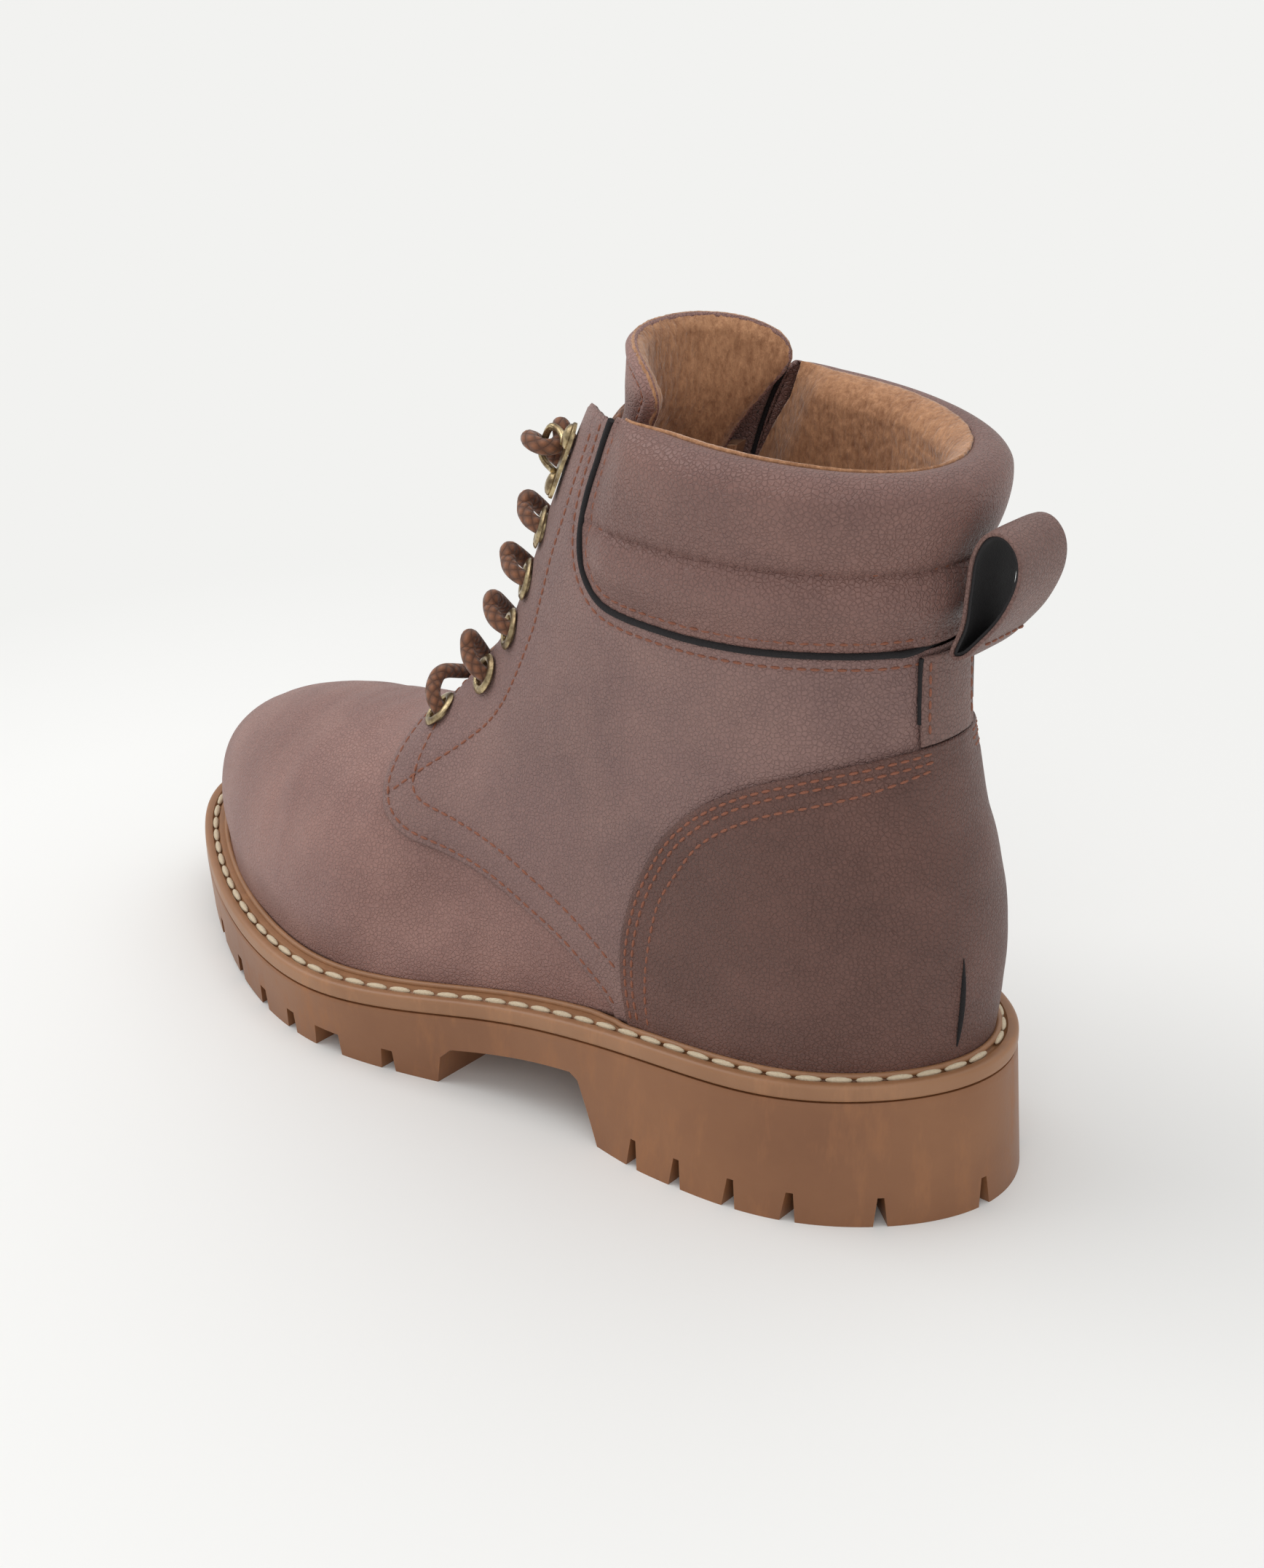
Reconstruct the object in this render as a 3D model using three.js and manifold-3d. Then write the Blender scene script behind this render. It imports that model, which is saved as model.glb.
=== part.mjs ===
// A left lace-up work boot: lugged unit sole, padded two-channel collar, insulated lining.
// Millimetres, +Z up. The toe points along -Y and the outer (lateral) side is +X.
// The origin is the centre of the heel tread, on the ground.
import * as THREE from 'three';
import Module from 'manifold-3d';
import { mergeVertices } from 'three/addons/utils/BufferGeometryUtils.js';

const wasm = await Module();
wasm.setup();

// ---------------------------------------------------------------- driving dimensions
const SOLE_LENGTH = 313;          // heel back to toe tip
const SOLE_WIDTH = 118;           // across the ball
const COLLAR_HEIGHT = 203;        // ground to the collar's top edge, at the back
const HEEL_BACK = 46;             // origin to the heel's back edge
const HEEL_FLARE = 3;             // the heel block widens this much to the ground
const WELT_THICK = 5;
const WELT_WIDTH = 12.5;
const WELT_REVEAL = 9.5;           // welt edge to the upper's base surface
const BOARD_THICK = 2.2;
const FILLER_THICK = 3;
const FOOTBED_THICK = 5;
const FOOTBED_PLAY = 3.5;         // footbed to the lining
const SHANK_WIDTH = 16;
const SHANK_THICK = 1.4;
const FOOT_BULGE = 2;             // the foot swells this far over its edge
const GROOVE_DEPTH = 1.2;         // stitch groove in the welt
const LEATHER = 1.4;
const INSULATION = 3;
const LINING = 1;
const STIFFENER = 1.3;
const COLLAR_BULGE = 4.5;         // how far the collar's rolls stand out
const COLLAR_FOAM = 5;
const PIPING_DIA = 2.2;
const FACING_HALF_GAP = 12.5;     // half the opening between the two eyestays
const EYELET_X = 19;              // eyelet axis to the centre plane
const EYELET_OUTER = 12;
const EYELET_HOLE = 7;
const EYELET_WALL = 0.5;
const EYELETS_PER_SIDE = 5;
const LACE_DIA = 4.4;
const AGLET_DIA = 3.6;
const TONGUE_DROP = 8;            // tongue surface below the upper's base surface
const TONGUE_FOAM = 3.2;
const TONGUE_FLARE = 4;           // how far the tongue's top leans out over the eyestays
const STRAP_WIDTH = 21;           // backstay and pull tab
const STRAP_THICK = 1.8;
const HOOK_PLATE = [23, 8, 1];    // along the eyestay, across it, thick
const HOOK_BAR_HEIGHT = 8.2;
const HOOK_WIRE = 1.8;
const RIVET_DIA = 5.5;
const THREAD_RADIUS = 0.95;        // welt thread
const GAP = 0.3;                  // between touching pieces
const SEAM = 0.6;                 // between two panels' cut edges

// The last's pattern is drawn at these sizes and graded from them.
const PATTERN = { front: 267, width: 118, height: 203, base: 45 };
const YK = (SOLE_LENGTH - HEEL_BACK) / PATTERN.front;
const XK = SOLE_WIDTH / PATTERN.width;
const ZK = (COLLAR_HEIGHT - PATTERN.base) / (PATTERN.height - PATTERN.base);

const gradeY = (y) => (y < 0 ? y * YK : y);
const gradeZ = (z) => (z > PATTERN.base ? PATTERN.base + (z - PATTERN.base) * ZK : z);
const graded = (points) => points.map(([y, z]) => [gradeY(y), gradeZ(z)]);

// ---------------------------------------------------------------- small maths
const lerp = THREE.MathUtils.lerp;
const smooth = (a, b, v) => THREE.MathUtils.smoothstep(v, a, b);
const root = Math.sqrt;

// Natural cubic through [x, y] knots, x rising; straight beyond both ends.
function spline(knots) {
  const n = knots.length;
  const x = knots.map((k) => k[0]);
  const y = knots.map((k) => k[1]);
  const m = new Array(n).fill(0);
  const c = new Array(n).fill(0);
  const d = new Array(n).fill(0);
  for (let i = 1; i < n - 1; i++) {
    const h0 = x[i] - x[i - 1];
    const h1 = x[i + 1] - x[i];
    const pivot = 2 * (h0 + h1) - h0 * c[i - 1];
    const bend = 6 * ((y[i + 1] - y[i]) / h1 - (y[i] - y[i - 1]) / h0);
    c[i] = h1 / pivot;
    d[i] = (bend - h0 * d[i - 1]) / pivot;
  }
  for (let i = n - 2; i > 0; i--) m[i] = d[i] - c[i] * m[i + 1];
  return (v) => {
    let i = 0;
    while (i < n - 2 && v > x[i + 1]) i++;
    const h = x[i + 1] - x[i];
    const s = (y[i + 1] - y[i]) / h;
    if (v < x[0]) return y[0] + (v - x[0]) * (s - (h * m[1]) / 6);
    if (v > x[n - 1]) return y[n - 1] + (v - x[n - 1]) * (s + (h * m[n - 2]) / 6);
    const a = (x[i + 1] - v) / h;
    const b = 1 - a;
    return a * y[i] + b * y[i + 1] + ((a ** 3 - a) * m[i] + (b ** 3 - b) * m[i + 1]) * h * h / 6;
  };
}

const byY = (knots) => spline(knots.map(([y, v]) => [gradeY(y), v]));

// ---------------------------------------------------------------- the last
const SOLE_MID = HEEL_BACK - SOLE_LENGTH / 2;
const planWidth = byY([[-267, 62], [-240, 63], [-210, 62], [-180, 61], [-150, 58.5], [-118, 52],
  [-90, 46], [-58, 47], [-20, 56], [14, 67], [46, 70]]);
const centreX = byY([[-267, -16], [-240, -13], [-210, -6.5], [-180, -0.5], [-150, 3], [-118, 2.5],
  [-58, 0.5], [-20, -1.5], [14, -4.5], [46, -7]]);
const weltTop = byY([[-267, 32], [-230, 27.5], [-190, 25], [-150, 25], [-118, 27.5], [-85, 32],
  [-45, 37.5], [0, 40.5], [46, 43]]);

// Half the plan's width at y, for the sole outline moved in by inset.
function planHalf(y, inset) {
  const c = (y - SOLE_MID) / (SOLE_LENGTH / 2 - inset);
  return (planWidth(y) - inset) * XK * root(Math.max(0, 1 - c * c));
}

// Stations from the sole's edge (0) to above the collar's top: front and back points in profile.
const FRONT = [[-257.5, 31], [-259, 41], [-255, 52], [-246, 63], [-230, 73.5], [-206, 82.5],
  [-176, 89.5], [-150, 95.5], [-133, 105], [-121, 119], [-111.5, 133], [-104, 147], [-99, 158],
  [-91, 176], [-82, 194], [-75, 210], [-72, 234]];
const BACK = [[36.5, 42.5], [37.5, 52], [38, 63], [38, 72], [37.5, 81], [36, 90], [34.5, 98],
  [32, 106], [30, 115], [28, 126], [26.5, 137], [26, 148], [26, 157], [28, 177], [29, 192],
  [27, 203], [22, 226]];
const SEAM_STATION = 12;
const TOP_STATION = 15;
const TONGUE_TOP = 16;
const column = (rows, k) => spline(graded(rows).map((p, i) => [i, p[k]]));
const frontY = column(FRONT, 0);
const frontZ = column(FRONT, 1);
const backY = column(BACK, 0);
const backZ = column(BACK, 1);
const byZ = (knots) => spline(knots.map(([z, v]) => [gradeZ(z), v]));
const shaftHalf = byZ([[43, 37.5], [60, 37.5], [80, 37.5], [100, 37], [120, 36.5], [140, 37],
  [157, 38], [180, 39.5], [205, 40.5], [232, 40]]);
const shaftMid = byZ([[43, -15], [100, -25], [157, -35], [205, -24], [232, -20]]);

// The station whose front point lies at the given value of get, by bisection.
function stationWhere(get, value, low, high) {
  let a = low;
  let b = high;
  for (let i = 0; i < 40; i++) {
    const mid = (a + b) / 2;
    if (get(mid) < value) a = mid;
    else b = mid;
  }
  return (a + b) / 2;
}
const ridgeZ = (y) => frontZ(stationWhere(frontY, y, 1, TONGUE_TOP + 1));
const ridgeY = (z) => frontY(stationWhere(frontZ, z, 0, TONGUE_TOP + 1));
const rearY = (z) => backY(stationWhere(backZ, z, 0, TONGUE_TOP + 1));

const oval = (t, power) => Math.max(0, 1 - Math.min(1, Math.max(0, t)) ** power) ** (1 / power);

// Half the upper's width at a point of the side view.
function halfWidth(y, z) {
  const base = weltTop(y);
  const rearness = smooth(gradeY(-150), gradeY(-100), y);
  const mid = shaftMid(z);
  const back = rearY(z);
  const eta = (y - mid) / (back - mid);
  const backBase = SOLE_MID + SOLE_LENGTH / 2 - WELT_REVEAL;
  const planY = y < mid ? y : mid + eta * (backBase - mid);
  const plan = planHalf(Math.min(planY, backBase), WELT_REVEAL);
  let body = 0;
  if (rearness > 0) {
    const ahead = (mid - y) / (mid - ridgeY(z));
    body += rearness * shaftHalf(z) * XK * oval(y > mid ? eta : ahead, 2.1);
  }
  if (rearness < 1) {
    const low = base + 9;
    const wall = planHalf(y, WELT_REVEAL - FOOT_BULGE);
    body += (1 - rearness) * wall * oval((z - low) / (ridgeZ(y) - low), 2.15);
  }
  return lerp(plan, body, smooth(0, lerp(16, 34, rearness), z - base));
}

const skew = (y, z) => centreX(y) * (1 - smooth(40, 150, z));

// A point on the last: station u, and turn round it, 0 at the back and PI at the front.
function onLast(u, turn) {
  const t = (1 - Math.cos(turn)) / 2;
  const y = lerp(backY(u), frontY(u), t);
  const chord = lerp(backZ(0), frontZ(0), t);
  const flat = y < backY(0) ? weltTop(lerp(backY(0), frontY(0), t)) : backZ(0);
  const z = lerp(backZ(u), frontZ(u), t) + (flat - chord) * (1 - smooth(0, 7, u));
  const edge = t < 1e-6 || t > 1 - 1e-6;
  const half = edge ? 0 : halfWidth(y, z);
  return new THREE.Vector3(skew(y, z) + Math.sign(Math.sin(turn)) * half, y, z);
}

function lastNormal(u, turn) {
  const step = 0.03;
  const low = Math.max(0, u - step);
  const along = onLast(u, turn + step).sub(onLast(u, turn - step));
  const up = onLast(u + step, turn).sub(onLast(low, turn));
  const out = up.cross(along);
  if (u === 0) out.z = 0;
  return out.normalize();
}

const offLast = (u, turn, d) => onLast(u, turn).addScaledVector(lastNormal(u, turn), d);

// The station and turn that show at a point of the side view.
function locate(y, z, side = 1) {
  let a = 0;
  let b = TONGUE_TOP + 1;
  let t = 0;
  for (let i = 0; i < 40; i++) {
    const u = (a + b) / 2;
    t = THREE.MathUtils.clamp((backY(u) - y) / (backY(u) - frontY(u)), 0, 1);
    const turn = Math.acos(1 - 2 * t);
    if (onLast(u, turn).z < z) a = u;
    else b = u;
  }
  return [(a + b) / 2, side * Math.acos(1 - 2 * t)];
}
const sidePoint = (y, z, d, side) => offLast(...locate(y, z, side), d);

// ---------------------------------------------------------------- solids
function toSolid(geometry) {
  const bare = geometry.clone();
  for (const name of Object.keys(bare.attributes)) {
    if (name !== 'position') bare.deleteAttribute(name);
  }
  const merged = mergeVertices(bare, 1e-4);
  return new wasm.Manifold(new wasm.Mesh({
    numProp: 3,
    vertProperties: new Float32Array(merged.attributes.position.array),
    triVerts: new Uint32Array(merged.index.array),
  }));
}

function toGeometry(solid) {
  const mesh = solid.getMesh();
  const geometry = new THREE.BufferGeometry();
  geometry.setAttribute('position', new THREE.BufferAttribute(new Float32Array(mesh.vertProperties), 3));
  geometry.setIndex(new THREE.BufferAttribute(new Uint32Array(mesh.triVerts), 1));
  return geometry;
}

function surfaceGeometry(points, faces) {
  const geometry = new THREE.BufferGeometry();
  const flat = points.flatMap((p) => [p.x, p.y, p.z]);
  geometry.setAttribute('position', new THREE.BufferAttribute(new Float32Array(flat), 3));
  geometry.setIndex(faces);
  return geometry;
}

const solidOf = (points, faces) => toSolid(surfaceGeometry(points, faces));
const TURNS = 24;

// A wall between two offsets of the last, all the way round, over the given stations.
function ring(stations, inner, outer) {
  const points = [];
  const faces = [];
  for (const u of stations) {
    for (let k = 0; k < TURNS; k++) {
      const turn = (k / TURNS) * 2 * Math.PI;
      points.push(offLast(u, turn, outer(u, turn)));
      points.push(offLast(u, turn, inner(u, turn)));
    }
  }
  const at = (i, k, face) => (i * TURNS + (k % TURNS)) * 2 + face;
  const quad = (a, b, c, d) => faces.push(a, b, c, a, c, d);
  const flip = (a, b, c, d) => faces.push(a, c, b, a, d, c);
  const last = stations.length - 1;
  for (let k = 0; k < TURNS; k++) {
    for (let i = 0; i < last; i++) {
      quad(at(i, k, 0), at(i + 1, k, 0), at(i + 1, k + 1, 0), at(i, k + 1, 0));
      flip(at(i, k, 1), at(i + 1, k, 1), at(i + 1, k + 1, 1), at(i, k + 1, 1));
    }
    quad(at(0, k + 1, 0), at(0, k + 1, 1), at(0, k, 1), at(0, k, 0));
    quad(at(last, k, 0), at(last, k, 1), at(last, k + 1, 1), at(last, k + 1, 0));
  }
  return solidOf(points, faces);
}

// A side-view outline drawn straight through the boot, between two values of x.
function prism(outline, x0 = -120, x1 = 120) {
  const shape = new THREE.Shape(outline.map(([y, z]) => new THREE.Vector2(y, z)));
  const geometry = new THREE.ExtrudeGeometry(shape, { depth: x1 - x0, bevelEnabled: false });
  geometry.applyMatrix4(new THREE.Matrix4().makeBasis(
    new THREE.Vector3(0, 1, 0), new THREE.Vector3(0, 0, 1), new THREE.Vector3(1, 0, 0)));
  geometry.translate(x0, 0, 0);
  return toSolid(geometry);
}

function box(x0, x1, y0, y1, z0, z1) {
  const geometry = new THREE.BoxGeometry(x1 - x0, y1 - y0, z1 - z0);
  geometry.translate((x0 + x1) / 2, (y0 + y1) / 2, (z0 + z1) / 2);
  return toSolid(geometry);
}

// An open curve moved sideways, to its left for a positive distance.
function shifted(points, distance) {
  return points.map(([y, z], i) => {
    const [y0, z0] = points[Math.max(0, i - 1)];
    const [y1, z1] = points[Math.min(points.length - 1, i + 1)];
    const length = Math.hypot(y1 - y0, z1 - z0);
    return [y - (distance * (z1 - z0)) / length, z + (distance * (y1 - y0)) / length];
  });
}

function smoothed(points, count) {
  const curve = new THREE.SplineCurve(graded(points).map(([y, z]) => new THREE.Vector2(y, z)));
  return curve.getSpacedPoints(count).map((p) => [p.x, p.y]);
}

// ---------------------------------------------------------------- seams, in the side view
const FAR = 400;
const vampSeam = smoothed([[-139, 118], [-139.5, 104], [-139.5, 93], [-138, 83], [-134, 76],
  [-126, 71], [-112, 68.5], [-97, 66], [-83, 61], [-70, 55], [-60, 48], [-52, 40], [-49, 30],
  [-48, 18]], 15);
const vampEnd = smoothed([[-136.5, 118], [-136.5, 93], [-134, 84], [-127, 79], [-113, 77],
  [-97, 74], [-81, 69], [-66, 62], [-55, 54], [-46, 44], [-42, 30], [-41, 18]], 13);
const collarSeam = smoothed([[-45, 220], [-50, 208], [-55, 198], [-59.5, 186], [-62, 175],
  [-61, 166], [-56, 160], [-48, 157.3], [-30, 156.5], [-10, 156.5], [20, 157.5], [60, 158]], 16);
const counterEdge = smoothed([[-44, 18], [-44.5, 36], [-46.5, 50], [-46, 63], [-43, 77],
  [-37, 91], [-30, 102], [-21, 111], [-10, 118.5], [2, 124], [16, 129], [29, 132], [60, 134]], 14);
const facingRow = smoothed([[-140, 76], [-127, 88], [-113, 100], [-103, 110], [-95, 122],
  [-88, 136], [-82, 150], [-77, 164], [-71, 178], [-65, 193], [-58, 210], [-52, 226]], 8);
const tongueEdge = smoothed([[-130, 70], [-127, 88], [-113, 103], [-98, 121], [-85, 144],
  [-74, 170], [-63, 192], [-54, 203], [-48, 209], [-47.5, 214], [-53, 219], [-66, 223],
  [-90, 226]], 16);
const CHANNEL_Z = gradeZ(179);    // stitched row between the collar's two rolls
const STRAP_BASE_Z = gradeZ(134.6);

const throatLine = smoothed([[-134, 128], [-133, 100], [-127, 62], [-119, 14]], 4);

// Areas of the side view beside a seam moved sideways by a distance, to the seam's left.
const vampArea = (curve, distance) => prism([...shifted(curve, distance), [0, -FAR],
  [-FAR, -FAR], [-FAR, curve[0][1]]]);
const collarArea = (distance) => prism([...shifted(collarSeam, distance), [FAR, gradeZ(158)],
  [FAR, FAR], [gradeY(-45), FAR]]);
const counterArea = (distance) => prism([...shifted(counterEdge, distance), [FAR, gradeZ(134)],
  [FAR, -FAR], [gradeY(-44), -FAR]]);
const facingArea = (distance) => prism([...shifted(facingRow, distance), [-FAR, gradeZ(226)],
  [-FAR, gradeZ(76)]]);
const tongueArea = (distance) => prism([...shifted(tongueEdge, distance), [-FAR, gradeZ(226)],
  [-FAR, gradeZ(70)]]);
const throatArea = (distance) => prism([...shifted(throatLine, distance), [-FAR, 0],
  [-FAR, gradeZ(128)]]);

// ---------------------------------------------------------------- materials and nodes
const group = new THREE.Group();
const FINISH = {
  leather: [0x8a6a62, 0.62, 0],
  overlay: [0x7a5a52, 0.6, 0],
  rubber: [0x9c7048, 0.55, 0],
  welt: [0xa07a58, 0.55, 0],
  thread: [0xe6d6b4, 0.8, 0],
  pile: [0xa5795c, 0.95, 0],
  foam: [0xd8cfa8, 0.9, 0],
  batting: [0xe8e8e4, 0.95, 0],
  board: [0xb09468, 0.85, 0],
  plastic: [0xd4d0c4, 0.5, 0],
  steel: [0x9a9da0, 0.35, 1],
  brass: [0x9a8a62, 0.3, 1],
  piping: [0x17151a, 0.7, 0],
  lace: [0x5a3424, 0.85, 0],
};

function add(name, body, finish) {
  const [color, roughness, metalness] = FINISH[finish];
  const material = new THREE.MeshStandardMaterial({ color, roughness, metalness });
  const geometry = body instanceof THREE.BufferGeometry ? body : toGeometry(body);
  const mesh = new THREE.Mesh(geometry, material);
  mesh.name = name;
  group.add(mesh);
  return mesh;
}

// ---------------------------------------------------------------- sole
const OUTLINE_STEPS = 40;

function planOutline(inset) {
  const half = SOLE_LENGTH / 2 - inset;
  const points = [];
  for (let k = 0; k < OUTLINE_STEPS; k++) {
    const turn = (k / OUTLINE_STEPS) * 2 * Math.PI;
    const y = SOLE_MID + half * Math.cos(turn);
    const side = Math.sign(Math.sin(turn));
    points.push(new THREE.Vector2(centreX(y) + side * planHalf(y, inset), y));
  }
  return points;
}

// A block with one plan outline below and another above.
function planBlock(low, high, z0, z1) {
  const points = [...low.map((p) => new THREE.Vector3(p.x, p.y, z0)),
    ...high.map((p) => new THREE.Vector3(p.x, p.y, z1))];
  const n = low.length;
  const faces = [];
  for (let k = 0; k < n; k++) {
    const next = (k + 1) % n;
    faces.push(k, n + k, n + next, k, n + next, next);
  }
  for (const [a, b, c] of THREE.ShapeUtils.triangulateShape(low, [])) faces.push(a, c, b);
  for (const [a, b, c] of THREE.ShapeUtils.triangulateShape(high, [])) {
    faces.push(n + a, n + b, n + c);
  }
  return solidOf(points, faces);
}

const PROFILE_STEPS = 16;

// Side-view band between two curves of y.
function band(low, high) {
  const from = gradeY(-PATTERN.front) - 12;
  const steps = [...Array(PROFILE_STEPS + 1).keys()];
  const ys = steps.map((i) => lerp(from, HEEL_BACK + 12, i / PROFILE_STEPS));
  return prism([...ys.map((y) => [y, low(y)]), ...ys.reverse().map((y) => [y, high(y)])]);
}

const BREAST_Y = gradeY(-50);
const ARCH_FRONT = gradeY(-108);
const HEEL_TREAD_DEPTH = 8;
const LUG_DEPTH = 7;
const ARCH_HEIGHT = 17;
const soleTop = (y) => weltTop(y) - GAP;
const weltBase = (y) => soleTop(y) - WELT_THICK;
const boardBase = (y) => soleTop(y) - BOARD_THICK;
const outsoleTop = (y) => weltBase(y) - GAP;
const toeSpring = byY([[-267, 11], [-235, 5], [-205, 1.5], [-180, 0], [-108, 0]]);
const treadLine = (y) => Math.max(0, toeSpring(y));

function treadProfile() {
  const front = [-272, -250, -230, -210, -190, -175].map(gradeY).map((y) => [y, treadLine(y)]);
  return [...front, [ARCH_FRONT, 0], [ARCH_FRONT + 3, ARCH_HEIGHT - 5], [BREAST_Y - 8, ARCH_HEIGHT + 4],
    [BREAST_Y, 0], [HEEL_BACK + 12, 0], [HEEL_BACK + 12, 80], [gradeY(-272), 80]];
}

const HEEL_SLOTS = [-36, -21, -4, 12];      // y of the slots in the heel's long sides
const SLOT_WIDTH = 3.2;
const SLOT_INNER = 31;                      // the slots start this far from the middle
const CORNER_TURNS = [51, 90, 129];         // directions of the slots round the heel's back
// Forefoot notches: y and width.
const FORE_NOTCHES = [[-124, 5], [-146, 11], [-163, 5], [-180, 5], [-199, 5], [-220, 5], [-238, 5]];
const NOTCH_DEPTH = 11;

function cutLugs(sole) {
  let body = sole;
  const half = SLOT_WIDTH / 2;
  const slot = box(SLOT_INNER, 70, -half, half, -2, HEEL_TREAD_DEPTH);
  for (const y of HEEL_SLOTS) {
    for (const turn of [0, 180]) body = body.subtract(slot.rotate([0, 0, turn]).translate([0, y, 0]));
  }
  for (const turn of CORNER_TURNS) body = body.subtract(slot.rotate([0, 0, turn]));
  for (const [y, wide] of FORE_NOTCHES) {
    const base = treadLine(gradeY(y));
    const edge = planHalf(gradeY(y), 0);
    for (const side of [-1, 1]) {
      const x = centreX(gradeY(y)) + side * edge;
      const inner = x - side * NOTCH_DEPTH;
      body = body.subtract(box(Math.min(inner, x + side * 12), Math.max(inner, x + side * 12),
        gradeY(y) - wide / 2, gradeY(y) + wide / 2, -2, base + LUG_DEPTH));
    }
  }
  return body;
}

function outsole() {
  const high = planOutline(0);
  const low = high.map((p) => {
    const heelness = smooth(gradeY(-75), gradeY(-30), p.y);
    const c = new THREE.Vector2(0, THREE.MathUtils.clamp(p.y, gradeY(-200), 0));
    const out = p.clone().sub(c).normalize();
    return p.clone().addScaledVector(out, lerp(-2, HEEL_FLARE, heelness));
  });
  const block = planBlock(low, high, -1, 50);
  let body = block.intersect(prism(treadProfile())).intersect(band(() => -10, outsoleTop));
  body = cutLugs(body);
  const recess = planBlock(planOutline(WELT_WIDTH), planOutline(WELT_WIDTH), -10, 90)
    .intersect(band((y) => outsoleTop(y) - FILLER_THICK + 1, (y) => outsoleTop(y) + 20));
  return body.subtract(recess);
}

function welt() {
  const outer = planBlock(planOutline(0), planOutline(0), -10, 90);
  const inner = planBlock(planOutline(WELT_WIDTH), planOutline(WELT_WIDTH), -10, 90);
  const groove = planBlock(planOutline(3), planOutline(3), -10, 90)
    .subtract(planBlock(planOutline(5.6), planOutline(5.6), -10, 90))
    .intersect(band((y) => soleTop(y) - GROOVE_DEPTH, (y) => soleTop(y) + 20));
  return outer.subtract(inner).intersect(band(weltBase, soleTop)).subtract(groove);
}

function solePlate(inset, low, high) {
  return planBlock(planOutline(inset), planOutline(inset), -10, 90).intersect(band(low, high));
}

const FILLER_BASE = (y) => outsoleTop(y) - FILLER_THICK + 1 + GAP;

function shank() {
  const z = (y) => boardBase(y) - GAP;
  return band((y) => z(y) - SHANK_THICK, z).intersect(
    box(-SHANK_WIDTH / 2, SHANK_WIDTH / 2, gradeY(-120), 5, -10, 90));
}

function filler() {
  const pocket = box(-SHANK_WIDTH / 2 - 1, SHANK_WIDTH / 2 + 1, gradeY(-121), 6, -10, 90)
    .intersect(band((y) => boardBase(y) - 2 * GAP - SHANK_THICK - 0.1, (y) => soleTop(y) + 20));
  return solePlate(WELT_WIDTH + SEAM, FILLER_BASE, (y) => boardBase(y) - GAP).subtract(pocket);
}

function footbed() {
  const low = (y) => weltTop(y) + GAP;
  return planBlock(planOutline(FOOTBED_INSET), planOutline(FOOTBED_INSET), -10, 90)
    .intersect(band(low, (y) => low(y) + FOOTBED_THICK));
}

// The loop of thread that lies in the welt's groove.
function weltThread() {
  const path = planOutline(4.3).map((p) => new THREE.Vector3(p.x, p.y, soleTop(p.y) + 0.1));
  return closedTube(path, THREAD_RADIUS, 6);
}

// A route that a tube follows point by point, so that its bends keep their places.
class Route extends THREE.Curve {
  constructor(points) {
    super();
    this.points = points;
  }

  getPoint(t) {
    const at = t * (this.points.length - 1);
    const i = Math.min(Math.floor(at), this.points.length - 2);
    return this.points[i].clone().lerp(this.points[i + 1], at - i);
  }

  getPointAt(t) {
    return this.getPoint(t);
  }

  getTangentAt(t) {
    const i = Math.round(t * (this.points.length - 1));
    const before = this.points[Math.max(0, i - 1)];
    const after = this.points[Math.min(this.points.length - 1, i + 1)];
    return after.clone().sub(before).normalize();
  }
}

function tube(points, radius, sides) {
  const section = new THREE.Shape(Array.from({ length: sides }, (_, k) => {
    const a = (k / sides) * 2 * Math.PI;
    return new THREE.Vector2(radius * Math.cos(a), radius * Math.sin(a));
  }));
  const route = { steps: points.length - 1, extrudePath: new Route(points), curveSegments: 1 };
  return toSolid(new THREE.ExtrudeGeometry(section, route));
}

// A ring of tube round a nearly flat loop.
function closedTube(points, radius, sides) {
  const n = points.length;
  const verts = [];
  const faces = [];
  points.forEach((p, i) => {
    const along = points[(i + 1) % n].clone().sub(points[(i + n - 1) % n]).normalize();
    const out = new THREE.Vector3().crossVectors(along, new THREE.Vector3(0, 0, 1)).normalize();
    const up = new THREE.Vector3().crossVectors(out, along);
    for (let k = 0; k < sides; k++) {
      const a = (k / sides) * 2 * Math.PI;
      const across = out.clone().multiplyScalar(radius * Math.cos(a));
      verts.push(across.addScaledVector(up, radius * Math.sin(a)).add(p));
    }
  });
  for (let i = 0; i < n; i++) {
    for (let k = 0; k < sides; k++) {
      const a = i * sides + k;
      const b = i * sides + ((k + 1) % sides);
      const c = ((i + 1) % n) * sides + k;
      const d = ((i + 1) % n) * sides + ((k + 1) % sides);
      faces.push(a, d, b, a, c, d);
    }
  }
  return solidOf(verts, faces);
}

const QUARTER = [GAP, GAP + LEATHER];
const OVERLAY = [2 * GAP + LEATHER, 2 * GAP + 2 * LEATHER];
const PUFF = [-LEATHER - GAP - STIFFENER, -LEATHER - GAP];
const PADDING = [PUFF[0] - GAP - INSULATION, PUFF[0] - GAP];
const INNER = [PADDING[0] - GAP - LINING, PADDING[0] - GAP];
const FOOTBED_INSET = WELT_REVEAL - INNER[0] + FOOTBED_PLAY;

add('outsole', outsole(), 'rubber');
add('welt', welt(), 'welt');
add('welt_thread', weltThread(), 'thread');
add('sole_filler', filler(), 'board');
add('shank', shank(), 'steel');
add('insole_board', solePlate(WELT_WIDTH + SEAM, boardBase, soleTop), 'board');
add('footbed', footbed(), 'foam');

// ---------------------------------------------------------------- upper
const GRID = [0, 0.5, 1, 2, 3, 4, 5, 6, 7, 8, 9, 10, 11, SEAM_STATION, 13.5, TOP_STATION];
const rows = (from, to) => GRID.filter((u) => u >= from && u <= to);
const even = (value) => () => value;
const layer = (stations, [inner, outer]) => ring(stations, even(inner), even(outer));
const ALL = rows(0, TOP_STATION);
const LOW = rows(0, 13.5);

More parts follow.
